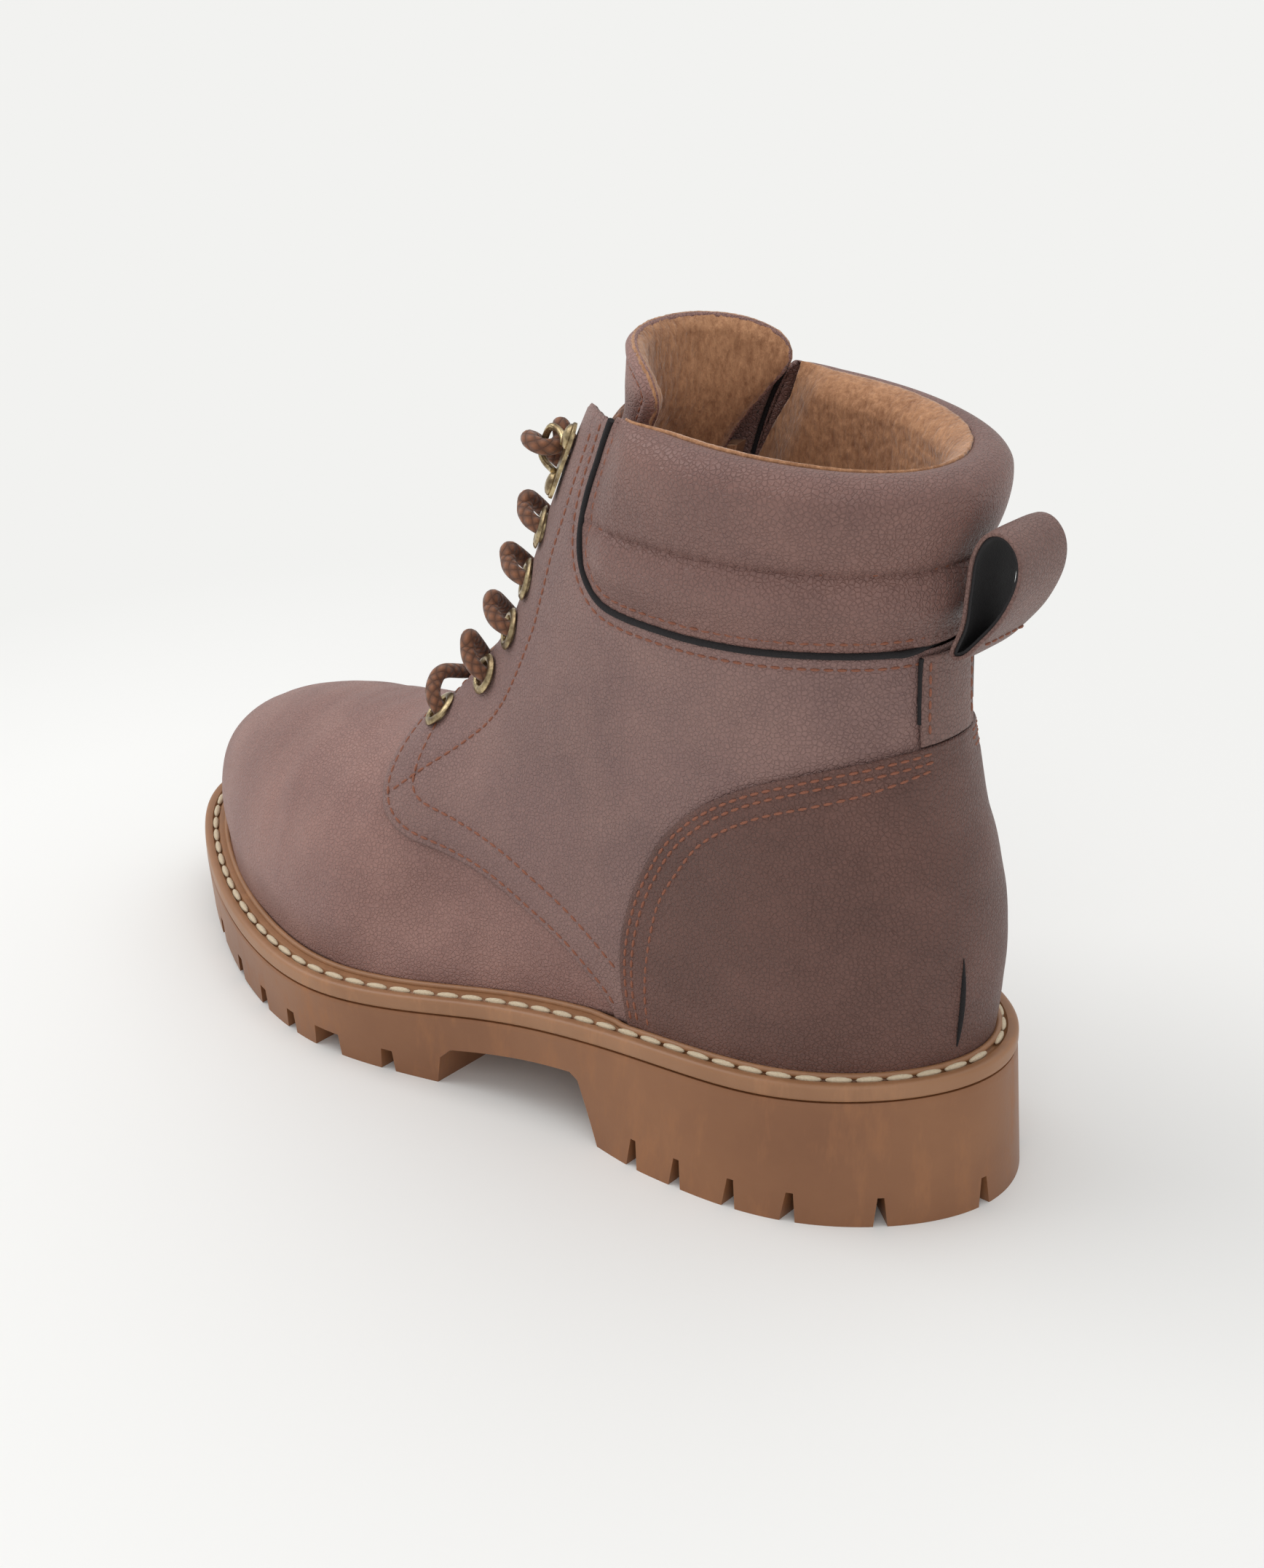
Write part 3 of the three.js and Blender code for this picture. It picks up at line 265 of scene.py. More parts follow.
    def behind(self, x: Array, u: Array) -> tuple[Array, Array]:
        """The station and turn near the back edge at a sideways distance x."""
        x, u = np.broadcast_arrays(np.asarray(x, float), np.asarray(u, float))
        low, high = np.zeros_like(x), np.full_like(x, 1.2)
        for _ in range(HALVINGS):
            turn = (low + high) / 2
            near = np.abs(self.point(u, turn)[..., 0] - self.point(u, 0 * turn)[..., 0]) < np.abs(x)
            low, high = np.where(near, turn, low), np.where(near, high, turn)
        return u, np.sign(x) * low

    def front(self, x: float, z: float, side: int) -> "Seat":
        """The place on the front of the shaft at a distance x from the centre plane."""
        low = float(self.ridge_y(z))
        high = low + 60
        for _ in range(HALVINGS):
            mid = (low + high) / 2
            if self.half_width(np.array(mid), np.array(z)) < x:
                low = mid
            else:
                high = mid
        u, turn = self.locate(np.array([low]), np.array([z]), side)
        out = self.normal(u, turn)[0]
        inward = np.array([-side, 0.0, 0.0])
        inward -= out * inward.dot(out)
        inward /= np.linalg.norm(inward)
        return Seat(self.point(u, turn)[0], inward, np.cross(out, inward) * side, out)


@dataclass(frozen=True)
class Seat:
    """A place for a fitting: its point, and its inward, upward and outward directions."""

    at: Array
    inward: Array
    up: Array
    out: Array

    def local(self, inward: float, up: float, out: float) -> Array:
        """A point in the seat's own directions, in millimetres."""
        return self.at + self.inward * inward + self.up * up + self.out * out

    def matrix(self) -> Matrix:
        """Turns a shape drawn on (across, up, out) in millimetres into its place in metres."""
        return placed((np.cross(self.up, self.out), self.up, self.out), self.at)


def placed(axes: Sequence[Array], at: Array) -> Matrix:
    """Turns a shape drawn on three axes in millimetres into its place in metres."""
    rows = [[*(float(v[i]) * MM for v in axes), float(at[i]) * MM] for i in range(3)]
    return Matrix([*rows, [0, 0, 0, 1]])


LAST = Last()


class Seam:
    """A smooth line in the side view, with signed distances to its left."""

    COUNT = 160
    RUN_ON = 50

    def __init__(self, points: Knots) -> None:
        """Resamples the line's points."""
        self.line = spaced(np.array(points, float), self.COUNT)

    def distance(self, y: Array, z: Array) -> Array:
        """Signed distance from points of the side view, positive to the line's left."""
        p = np.stack([y, z], axis=-1)[:, None, :]
        a, b = self.line[:-1][None], self.line[1:][None]
        ab = b - a
        t = ((p - a) * ab).sum(-1) / (ab * ab).sum(-1)
        ends = np.zeros(len(self.line) - 1)
        low, high = ends.copy(), ends + 1
        low[0], high[-1] = -self.RUN_ON, self.RUN_ON
        t = np.clip(t, low, high)
        gap = p - (a + ab * t[..., None])
        best = np.argmin((gap * gap).sum(-1), axis=1)
        row = np.arange(len(best))
        near, run = gap[row, best], ab[0, best]
        cross = run[:, 0] * near[:, 1] - run[:, 1] * near[:, 0]
        return np.sign(cross) * np.linalg.norm(near, axis=1)

    def beside(self, distance: float) -> Array:
        """The line moved sideways, to its left for a positive distance."""
        along = np.gradient(self.line, axis=0)
        along /= np.linalg.norm(along, axis=1, keepdims=True)
        return self.line + distance * np.stack([-along[:, 1], along[:, 0]], axis=1)


VAMP_SEAM = Seam(((-139, 118), (-139.5, 104), (-139.5, 93), (-138, 83), (-134, 76), (-126, 71),
                  (-112, 68.5), (-97, 66), (-83, 61), (-70, 55), (-60, 48), (-52, 40), (-49, 30), (-48, 18)))
VAMP_END = Seam(((-136.5, 118), (-136.5, 93), (-134, 84), (-127, 79), (-113, 77), (-97, 74), (-81, 69),
                 (-66, 62), (-55, 54), (-46, 44), (-42, 30), (-41, 18)))
COLLAR_SEAM = Seam(((-45, 220), (-50, 208), (-55, 198), (-59.5, 186), (-62, 175), (-61, 166), (-56, 160),
                    (-48, 157.3), (-30, 156.5), (-10, 156.5), (20, 157.5), (60, 158)))
COUNTER_EDGE = Seam(((-44, 18), (-44.5, 36), (-46.5, 50), (-46, 63), (-43, 77), (-37, 91), (-30, 102),
                     (-21, 111), (-10, 118.5), (2, 124), (16, 129), (29, 132), (60, 134)))
COUNTER_ROW = Seam(((-37, 18), (-37, 38), (-38, 52), (-36, 68), (-33, 80), (-27, 91), (-19, 102), (-5, 112),
                    (15, 120), (28, 126), (41, 131)))
FACING_ROW = Seam(((-140, 76), (-127, 88), (-113, 100), (-103, 110), (-95, 122), (-88, 136), (-82, 150),
                   (-77, 164), (-71, 178), (-65, 193), (-58, 210), (-52, 226)))
TONGUE_EDGE = Seam(((-130, 70), (-127, 88), (-113, 103), (-98, 121), (-85, 144), (-74, 170), (-63, 192),
                    (-54, 203), (-48, 209), (-47.5, 214), (-53, 219), (-66, 223), (-90, 226)))
THROAT = Seam(((-134, 128), (-133, 100), (-127, 62), (-119, 14)))


# ---------------------------------------------------------------- mesh helpers
def to_object(name: str, bm: bmesh.types.BMesh, scale: float = MM, sharp: float = 40) -> bpy.types.Object:
    """Turns a bmesh into an object at the origin.

    Args:
        name: the object's name.
        bm: the shape, freed afterwards.
        scale: metres per unit of the shape.
        sharp: edges turning more than this many degrees stay sharp.

    Returns:
        The new object.
    """
    if scale != 1:
        bmesh.ops.scale(bm, vec=(scale,) * 3, verts=bm.verts)
    mesh = bpy.data.meshes.new(name)
    bm.to_mesh(mesh)
    bm.free()
    mesh.shade_smooth()
    mesh.set_sharp_from_angle(angle=math.radians(sharp))
    piece = bpy.data.objects.new(name, mesh)
    bpy.context.scene.collection.objects.link(piece)
    return piece


def outward(bm: bmesh.types.BMesh) -> bmesh.types.BMesh:
    """The same shape with its faces turned outward."""
    bmesh.ops.recalc_face_normals(bm, faces=bm.faces)
    return bm


def raised(bm: bmesh.types.BMesh, move: tuple[float, float, float]) -> bmesh.types.BMesh:
    """A flat shape given depth along a vector."""
    moved = bmesh.ops.extrude_face_region(bm, geom=bm.faces[:])["geom"]
    verts = [v for v in moved if isinstance(v, bmesh.types.BMVert)]
    bmesh.ops.translate(bm, vec=move, verts=verts)
    return outward(bm)


def skin(cols: int, rows: int, place: Callable[[Array, Array], Array], weld: float = 0,
         uv: tuple[float, float] = (1, 1), caps: bool = False) -> bmesh.types.BMesh:
    """A grid bent into shape.

    Args:
        cols: faces across.
        rows: faces along.
        place: gives a point for each (across, along), both 0 to 1.
        weld: merges points closer than this, to close the grid.
        uv: the UV map's size across and along.
        caps: whether open ends are filled.

    Returns:
        The shape, in the units that place gives.
    """
    bm = bmesh.new()
    bmesh.ops.create_grid(bm, x_segments=cols, y_segments=rows, size=0.5)
    layer = bm.loops.layers.uv.new("UVMap")
    for face in bm.faces:
        for loop in face.loops:
            x, y, _ = loop.vert.co
            loop[layer].uv = ((x + 0.5) * uv[0], (y + 0.5) * uv[1])
    co = np.array([v.co for v in bm.verts]) + 0.5
    for vert, p in zip(bm.verts, place(co[:, 0], co[:, 1])):
        vert.co = p
    if weld:
        bmesh.ops.remove_doubles(bm, verts=bm.verts, dist=weld)
    if caps:
        bmesh.ops.holes_fill(bm, edges=[e for e in bm.edges if e.is_boundary], sides=0)
    return bm


def swept(path: Array, radius: Array, sides: int = 12, closed: bool = False,
          up: tuple[float, float, float] = (0, 0, 1), flat: float = 1) -> bmesh.types.BMesh:
    """A round or oval tube along a path.

    Args:
        path: the centre line's points.
        radius: the tube's radius, one value or one per point.
        sides: faces round the tube.
        closed: whether the path joins up.
        up: the direction that the section's first axis leans towards.
        flat: the section's size across that direction, as a share of the radius.

    Returns:
        The tube.
    """
    p = np.asarray(path, float)
    if closed:
        p = np.vstack([p, p[:1]])
        along = np.roll(p[:-1], -1, axis=0) - np.roll(p[:-1], 1, axis=0)
        along = np.vstack([along, along[:1]])
    else:
        along = np.gradient(p, axis=0)
    along /= np.linalg.norm(along, axis=1, keepdims=True)
    first = np.empty_like(p)
    hint = np.array(up, float)
    for i, t in enumerate(along):
        hint = hint - t * hint.dot(t) if not closed else np.array(up, float) - t * np.dot(up, t)
        hint /= np.linalg.norm(hint)
        first[i] = hint
    second = np.cross(along, first)
    size = np.broadcast_to(np.asarray(radius, float), (len(p),))
    length = np.concatenate([[0], np.cumsum(np.linalg.norm(np.diff(p, axis=0), axis=1))])
    rows = len(p) - 1

    def place(s: Array, t: Array) -> Array:
        """Bends the grid round the path."""
        i = np.rint(t * rows).astype(int)
        a = s * 2 * math.pi
        r = size[i][:, None]
        across, over = np.cos(a)[:, None], np.sin(a)[:, None]
        return p[i] + first[i] * r * across + second[i] * r * flat * over

    return skin(sides, rows, place, weld=1e-4, uv=(1, length[-1] / 10), caps=not closed)


def lathe(profile: Knots, steps: int = 28) -> bmesh.types.BMesh:
    """A shape spun round Z from (radius, height) points."""
    bm = bmesh.new()
    verts = [bm.verts.new((r, 0, h)) for r, h in profile]
    edges = [bm.edges.new(pair) for pair in zip(verts, verts[1:])]
    bmesh.ops.spin(bm, geom=[*verts, *edges], cent=(0, 0, 0), axis=(0, 0, 1), angle=2 * math.pi,
                   steps=steps, use_merge=True, use_duplicate=False)
    bmesh.ops.remove_doubles(bm, verts=bm.verts, dist=1e-4)
    return outward(bm)


Parts = Sequence[tuple[bmesh.types.BMesh, Matrix]]


def gather(name: str, parts: Parts) -> bpy.types.Object:
    """One object from several shapes, each put in its place in metres."""
    whole = bmesh.new()
    for bm, matrix in parts:
        mesh = bpy.data.meshes.new("part")
        bm.to_mesh(mesh)
        bm.free()
        mesh.transform(matrix)
        whole.from_mesh(mesh)
        bpy.data.meshes.remove(mesh)
    return to_object(name, whole, 1)


def modify(piece: bpy.types.Object, kind: str, **settings: object) -> None:
    """Adds a modifier with its settings."""
    modifier = piece.modifiers.new(kind.lower(), kind)
    for key, value in settings.items():
        setattr(modifier, key, value)


def apply_all(piece: bpy.types.Object) -> None:
    """Replaces a piece's mesh by the result of its modifiers."""
    bpy.context.view_layer.update()
    shown = piece.evaluated_get(bpy.context.evaluated_depsgraph_get())
    mesh = bpy.data.meshes.new_from_object(shown)
    piece.modifiers.clear()
    piece.data = mesh


def relief(points: Array) -> Array:
    """How far handled leather stands in or out, in millimetres, the same for every layer."""
    waves = []
    for x, y, z in points:
        broad = noise.noise((x * 0.025, y * 0.022, z * 0.028))
        fine = noise.noise((x * 0.09 + 7, y * 0.07, z * 0.1))
        waves.append(0.7 * broad + 0.22 * fine)
    return np.array(waves)


def tufts(points: Array, *waves: tuple[float, float]) -> Array:
    """How far the pile stands up at points, from (height, frequency) waves."""
    return np.array([sum(high * noise.noise(q * rate) for high, rate in waves)
                     for q in map(Vector, points)])


def laid(u: Array, turn: Array, lift: Array, share: float = 1.0) -> tuple[Array, Array]:
    """Places on the leather.

    Args:
        u: their stations.
        turn: their turns.
        lift: how far they lie from the last.
        share: how much of the leather's unevenness they follow.

    Returns:
        The points and the outward directions there.
    """
    base, outs = LAST.point(u, turn), LAST.normal(u, turn)
    return base + outs * (lift + share * relief(base))[:, None], outs


def settled(u: Array, turn: Array, points: Array) -> Array:
    """Draws the toe tip's foot straight down to the welt.

    Args:
        u: the points' stations.
        turn: their turns.
        points: where they are.

    Returns:
        The points, those low at the toe tip moved.
    """
    start = 1.5
    share = (1 - smooth(0.3, 0.5, np.abs(turn - math.pi))) * (1 - smooth(1.2, start, u))
    above = LAST.point(np.full_like(u, start), turn)
    above[:, 1] -= relief(above)
    above[:, 2] = lerp(LAST.point(np.zeros_like(u), turn)[:, 2], above[:, 2], np.clip(u / start, 0, 1))
    return lerp(points, above, share[:, None])


# ---------------------------------------------------------------- panels
class Panel:
    """A leather panel: a grid on the last, trimmed and dented along lines of the side view."""

    NEAR = 1e-5

    def __init__(self, stations: tuple[float, float], turns: tuple[float, float], rows: int,
                 cols: int) -> None:
        """Starts the grid, with turns along X and stations along Y."""
        self.bm = bmesh.new()
        bmesh.ops.create_grid(self.bm, x_segments=cols, y_segments=rows, size=0.5)
        for vert in self.bm.verts:
            vert.co.x = lerp(turns[0], turns[1], vert.co.x + 0.5)
            vert.co.y = lerp(stations[0], stations[1], vert.co.y + 0.5)

    def places(self) -> tuple[Array, Array]:
        """The stations and turns of every point."""
        co = np.array([v.co for v in self.bm.verts]).reshape(-1, 3)
        return co[:, 1], co[:, 0]

    def line(self, field: Field, value: float, trim: bool = False) -> "Panel":
        """Runs an edge line where a field has a value.

        Args:
            field: gives a number for each point.
            value: the number along the line.
            trim: whether the side with lower numbers is cut away.

        Returns:
            The panel itself.
        """
        bm = self.bm
        level = field(*self.places()) - value
        level[np.abs(level) < self.NEAR] = self.NEAR
        bm.verts.index_update()
        crossed = [(e, level[e.verts[0].index], level[e.verts[1].index]) for e in bm.edges]
        fresh = []
        for edge, a, b in crossed:
            if a * b < 0:
                fresh.append(bmesh.utils.edge_split(edge, edge.verts[0], a / (a - b))[1])
        if fresh:
            bmesh.ops.connect_verts(bm, verts=fresh)
        if trim:
            new = set(fresh)
            level = field(*self.places()) - value
            bm.verts.index_update()
            gone = [f for f in bm.faces
                    if np.mean([level[v.index] for v in f.verts if v not in new] or [1]) < 0]
            bmesh.ops.delete(bm, geom=gone, context="FACES")
        return self

    def lines(self, field: Field, *values: float) -> "Panel":
        """Runs an edge line at each of several values of a field."""
        for value in values:
            self.line(field, value)
        return self

    def finish(self, name: str, offset: Field, thick: float, inner: bool = True) -> bpy.types.Object:
        """Bends the panel onto the last.

        Args:
            name: the piece's name.
            offset: the outer face's distance from the last.
            thick: the leather's thickness.
            inner: whether the thickness goes inwards.

        Returns:
            The panel as an object.
        """
        u, turn = self.places()
        points, outs = laid(u, turn, offset(u, turn))
        points = settled(u, turn, points)
        for vert, p in zip(self.bm.verts, points):
            vert.co = p
        self.bm.normal_update()
        self.bm.faces.ensure_lookup_table()
        probe = self.bm.faces[len(self.bm.faces) // 2]
        middle = np.array(probe.calc_center_median())
        out = outs[np.argmin(((points - middle) ** 2).sum(1))]
        if probe.normal.dot(Vector(out)) < 0:
            bmesh.ops.reverse_faces(self.bm, faces=self.bm.faces)
        piece = to_object(name, self.bm)
        modify(piece, "SOLIDIFY", thickness=thick * MM, offset=-1 if inner else 1,
               use_even_offset=True)
        return piece


def seam_field(seam: Seam) -> Field:
    """Signed distance to a seam, as a field over stations and turns."""

    def value(u: Array, turn: Array) -> Array:
        """Distance at each point."""
        p = LAST.point(u, turn)
        return seam.distance(p[:, 1], p[:, 2])

    return value


def minus(field: Field) -> Field:
    """The same field with its sign turned."""
    return lambda u, turn: -field(u, turn)


def rolled(d: Array, reach: float = 1.3, drop: float = 0.5) -> Array:
    """How far a cut edge is drawn in, at a distance d from it."""
    return -drop * np.clip(1 - d / reach, 0, 1) ** 2


def row_dent(d: Array, at: float, depth: float = 0.3) -> Array:
    """The valley that a stitch row pulls in, at a distance d from the edge."""
    return -depth * bell(d - at, 0.95)


# ---------------------------------------------------------------- thread
@dataclass(frozen=True)
class ThreadRow:
    """One run of stitches: the line they follow and the leather's outward directions there."""

    points: Array
    outs: Array


def side_row(seam: Seam, beside: float, offset: Field, side: int,
             keep: Callable[[Array, Array], Array]) -> list[ThreadRow]:
    """Stitch rows beside a seam, on one side of the boot.

    Args:
        seam: the line that the stitches follow.
        beside: the row's distance to the seam's left.
        offset: the leather's outer face above the last.
        side: 1 for the outer side, -1 for the inner.
        keep: says which places of the side view have stitches.

    Returns:
        The runs of the row.
    """
    line = seam.beside(beside)
    y, z = line[:, 0], line[:, 1]
    u, turn = LAST.locate(y, z, side)
    points, outs = laid(u, turn, offset(u, turn))
    good = keep(y, z) & (y < LAST.rear_y(z) - 0.6) & (y > LAST.ridge_y(z) + 0.5)
    runs: list[list[int]] = [[]]
    for i, fine in enumerate(good):
        if fine:
            runs[-1].append(i)
        elif runs[-1]:
            runs.append([])
    return [ThreadRow(points[run], outs[run]) for run in runs if len(run) > 3]


def across_row(x: float, stations: tuple[float, float], offset: Field) -> ThreadRow:
    """A stitch row up the back at a sideways distance x."""
    u, turn = LAST.behind(x, np.linspace(*stations, 40))
    return ThreadRow(*laid(u, turn, offset(u, turn)))


@dataclass
class Stitching:
    """Sewing thread laid in rows."""

    length: float = 2.5
    pitch: float = 3.3
    width: float = 0.42
    sink: float = -0.12
    ends: tuple[float, float] = (0.08, 0.86)

    def along(self, values: Array, lengths: Array, steps: float) -> Array:
        """The value a number of stitches along a row, from values at the row's lengths."""
        return np.array([np.interp(steps * self.pitch, lengths, values[:, j]) for j in range(3)])

    def build(self, name: str, rows: Sequence[ThreadRow]) -> bpy.types.Object:
        """Lays a stitch at every step of the rows.

        Args:
            name: the piece's name.
            rows: the lines to follow.

        Returns:
            All the stitches as one piece.
        """
        bm = bmesh.new()
        bmesh.ops.create_uvsphere(bm, u_segments=8, v_segments=6, radius=1)
        bmesh.ops.rotate(bm, matrix=Matrix.Rotation(math.pi / 2, 3, "Y"), verts=bm.verts)
        bmesh.ops.scale(bm, vec=(self.length / 2, self.width, self.width), verts=bm.verts)
        stitch = bpy.data.meshes.new("stitch")
        bm.to_mesh(stitch)
        bm.free()
        whole = bmesh.new()
        for row in rows:
            steps = np.linalg.norm(np.diff(row.points, axis=0), axis=1)
            lengths = np.concatenate([[0], np.cumsum(steps)])
            count = int(lengths[-1] // self.pitch)
            for i in range(count):
                start, end = (self.along(row.points, lengths, i + k) for k in self.ends)
                out = self.along(row.outs, lengths, i + 0.5)
                run = end - start
                run /= max(np.linalg.norm(run), 1e-6)
                out = out - run * out.dot(run)
                out /= np.linalg.norm(out)
                at = (start + end) / 2 + out * self.sink
                one = stitch.copy()
                one.transform(placed((run, np.cross(out, run), out), at))
                whole.from_mesh(one)
                bpy.data.meshes.remove(one)
        bpy.data.meshes.remove(stitch)
        return to_object(name, whole, 1, 180)


# ---------------------------------------------------------------- sole
@dataclass
class Sole:
    """The unit sole: lugged outsole, welt flange with its cord stitching, and the bead round the upper."""

    welt_thick: float = 5.0
    thread_inset: float = 4.3
    thread_pitch: float = 8.0
    heel_flare: float = 3.0
    notch_depth: float = 11.0
    rings: int = 300
    section_points: int = 56
    slot_inner: float = 31
    slot_outer: float = 70
    slot_half: float = 2.2
    slot_high: float = 8.6
    slot_taper: float = 1.3
    below: float = -2.0
    heel_slots: tuple[float, ...] = (-36, -21, -4, 12)
    corner_turns: tuple[float, ...] = (51, 90, 129)
    fore_notches: tuple[tuple[float, float], ...] = (
        (-124, 5), (-146, 11), (-163, 5), (-180, 5), (-199, 5), (-220, 5), (-238, 5))

    def top(self, y: Array) -> Array:
        """Height of the welt's upper face."""
        return LAST.welt_top(y) - 0.3

    def outline(self, inset: Array, share: Array) -> Array:
        """Plan points at a share of the way round, moved in by inset."""
        turn = share * 2 * math.pi
        inset = np.broadcast_to(np.asarray(inset, float), turn.shape)
        y = LAST.MIDDLE + (LAST.SOLE_LENGTH / 2 - inset) * np.cos(turn)
        c = (y - LAST.MIDDLE) / (LAST.SOLE_LENGTH / 2 - inset)
        half = (LAST.plan_width(y) - inset) * np.sqrt(np.maximum(0, 1 - c * c))
        return np.stack([LAST.centre(y) + np.sign(np.sin(turn)) * half, y], axis=-1)

    def wall(self, s: Array, t: Array) -> Array:
        """The outsole's side wall, from its top edge down past the tread."""
        rim = self.outline(0.0, s)
        y = rim[:, 1]
        high = self.top(y) - self.welt_thick - 0.3
        z = lerp(high, -1.0, t)
        heel = smooth(-75, -30, y)
        centre = np.stack([0 * y, np.clip(y, -200, 0)], axis=-1)
        out = rim - centre
        out /= np.maximum(np.linalg.norm(out, axis=1, keepdims=True), 1e-6)
        depth = high - z
        lip = -0.35 * np.clip(1 - depth / 0.5, 0, 1) ** 2
        rim = rim + out * (lerp(-2, self.heel_flare, heel) * t + lip)[:, None]
        return np.stack([rim[:, 0], rim[:, 1], z], axis=-1)

    def slab(self, outline: Knots, half: float = 90) -> bmesh.types.BMesh:
        """A side-view outline drawn straight across."""
        bm = bmesh.new()
        bm.faces.new([bm.verts.new((-half, y, z)) for y, z in outline])
        return raised(bm, (2 * half, 0, 0))

    def block(self, low: tuple[float, float, float], high: tuple[float, float, float],
              taper: float = 0.0) -> bmesh.types.BMesh:
        """A cutting block between two corners, its top narrower along the boot by taper on each side."""
        bm = bmesh.new()
        bmesh.ops.create_cube(bm, size=1)
        size, middle = np.subtract(high, low), np.add(high, low) / 2
        bmesh.ops.scale(bm, vec=size, verts=bm.verts)
        bmesh.ops.translate(bm, vec=middle, verts=bm.verts)
        for vert in bm.verts:
            if vert.co.z > middle[2]:
                vert.co.y -= math.copysign(taper, vert.co.y - middle[1])
        return bm

    def slot(self, turn: float, y: float) -> bmesh.types.BMesh:
        """A heel slot that widens to the ground, reaching out in one direction."""
        bm = self.block((self.slot_inner, -self.slot_half, self.below),
                        (self.slot_outer, self.slot_half, self.slot_high), self.slot_taper)
        bmesh.ops.rotate(bm, matrix=Matrix.Rotation(math.radians(turn), 3, "Z"), verts=bm.verts)
        bmesh.ops.translate(bm, vec=(0, y, 0), verts=bm.verts)
        return bm

    def cutters(self) -> list[bmesh.types.BMesh]:
        """The lug notches, heel slots and tread grooves."""
        shapes = []
        for y in self.heel_slots:
            for turn in (0, 180):
                shapes.append(self.slot(turn, y))
            shapes.append(self.block((-28, y - 1.5, self.below), (28, y + 1.5, 2.5), 0.4))
        for turn in self.corner_turns:
            shapes.append(self.slot(turn, 0))
        for y, wide in self.fore_notches:
            base = max(0.0, float(LAST.toe_spring(y)))
            edge, middle = float(LAST.plan_half(np.array(float(y)), 0.0)), float(LAST.centre(y))
            for side in (-1, 1):
                x0, x1 = sorted(middle + side * reach for reach in (edge - self.notch_depth, edge + 12))
                low, high = (x0, y - wide / 2, self.below), (x1, y + wide / 2, base + 7)
                shapes.append(self.block(low, high, 0.7))
            inner = edge - self.notch_depth - 3
            low, high = (middle - inner, y - 2, self.below), (middle + inner, y + 2, base + 2.6)
            shapes.append(self.block(low, high, 0.4))
        return shapes

    def outsole(self) -> bpy.types.Object:
        """Lofts the block, then cuts its tread line, arch, notches and grooves."""
        bm = skin(self.rings, 34, self.wall, weld=1e-3, uv=(76, 3), caps=True)
        piece = to_object("outsole_rubber", outward(bm))
        places = (-290, -272, -261, -250, -240, -230, -220, -210, -200, -190, -180)
        toe = [(y, max(0.0, float(LAST.toe_spring(y)))) for y in places]
        arch = [(-108, 0), (-106.5, 9), (-103, 12.5), (-80, 16.5), (-61, 19.5), (-58, 18), (-50, 0)]
        under = self.slab([(-290, -20), *toe, *arch, (70, 0), (70, -20)])
        for name, shapes in (("under", [under]), ("notches", self.cutters())):
            knife = gather(name, [(shape, TO_METRES) for shape in shapes])
            modify(piece, "BOOLEAN", object=knife, operation="DIFFERENCE", solver="EXACT",
                   use_self=True)
            apply_all(piece)
            bpy.data.objects.remove(knife)
        piece.data.shade_smooth()
        piece.data.set_sharp_from_angle(angle=math.radians(32))
        return piece

    def welt(self) -> bpy.types.Object:
        """The flange that the upper stands on, with its stitching groove."""
        count = self.section_points
        section = spaced(((12.5, -5), (6, -5), (1.2, -5), (0.3, -4.6), (0, -4), (0, -1.2), (0.3, -0.4),
                          (1, 0), (2.7, 0), (3.1, -0.4), (3.4, -1), (4.3, -1.2), (5.2, -1), (5.5, -0.4),
                          (5.9, 0), (7.5, 0.0), (10, 0), (12.3, 0), (12.5, -0.3), (12.5, -4.7)),
                         count, closed=True)

        def place(s: Array, t: Array) -> Array:
            """Carries the section round the outline."""
            i = np.rint(t * count).astype(int) % count
            plan = self.outline(section[i, 0], s)
            return np.stack([plan[:, 0], plan[:, 1], self.top(plan[:, 1]) + section[i, 1]], axis=-1)

        return to_object("welt_flange", outward(skin(self.rings, count, place, weld=1e-3, uv=(76, 3))))

    def rim_line(self, inset: Array, lift: float, count: int) -> Array:
        """Points round the welt at an inset, lifted off its face."""
        plan = self.outline(inset, np.linspace(0, 1, count, endpoint=False))
        return np.stack([plan[:, 0], plan[:, 1], self.top(plan[:, 1]) + lift], axis=-1)

    def bead(self) -> bpy.types.Object:
        """The rubber bead against the upper's foot."""
        y = self.outline(6.0, np.linspace(0, 1, self.rings, endpoint=False))[:, 1]
        inset = lerp(8.7, 7.1, smooth(-60, -48, y))
        inset = lerp(inset, 5.5, smooth(-50, -44, y))
        line = self.rim_line(inset, 0.3, self.rings)
        return to_object("welt_bead", swept(line, 0.95, 10, closed=True))

    def cord(self) -> bpy.types.Object:
        """The welt's thick stitches, each dipping at its ends."""
        loop = spaced(self.rim_line(self.thread_inset, -0.25, 240), 720, closed=True)
        loop = np.vstack([loop, loop[:1]])
        outs = np.tile(np.array([0.0, 0.0, 1.0]), (len(loop), 1))
        sewing = Stitching(length=7.2, pitch=self.thread_pitch, width=1.0, sink=0.0)
        return sewing.build("welt_stitches", [ThreadRow(loop, outs)])


# ---------------------------------------------------------------- upper
LEATHER = 1.4
QUARTER_FACE, OVERLAY_FACE = 1.7, 3.4
VAMP_D, COLLAR_D, COUNTER_D = seam_field(VAMP_SEAM), seam_field(COLLAR_SEAM), seam_field(COUNTER_EDGE)
FACING_D, TONGUE_D, THROAT_D = seam_field(FACING_ROW), seam_field(TONGUE_EDGE), seam_field(THROAT)


def opening(u: Array, turn: Array) -> Array:
    """Distance outside the gap between the two eyestays."""
    p = LAST.point(u, turn)
    half = 12.5 + 2.0 * smooth(14.1, 14.7, u) ** 2
    return np.maximum.reduce([np.abs(p[:, 0]) - half, p[:, 1] + 35, 72 - p[:, 2]])


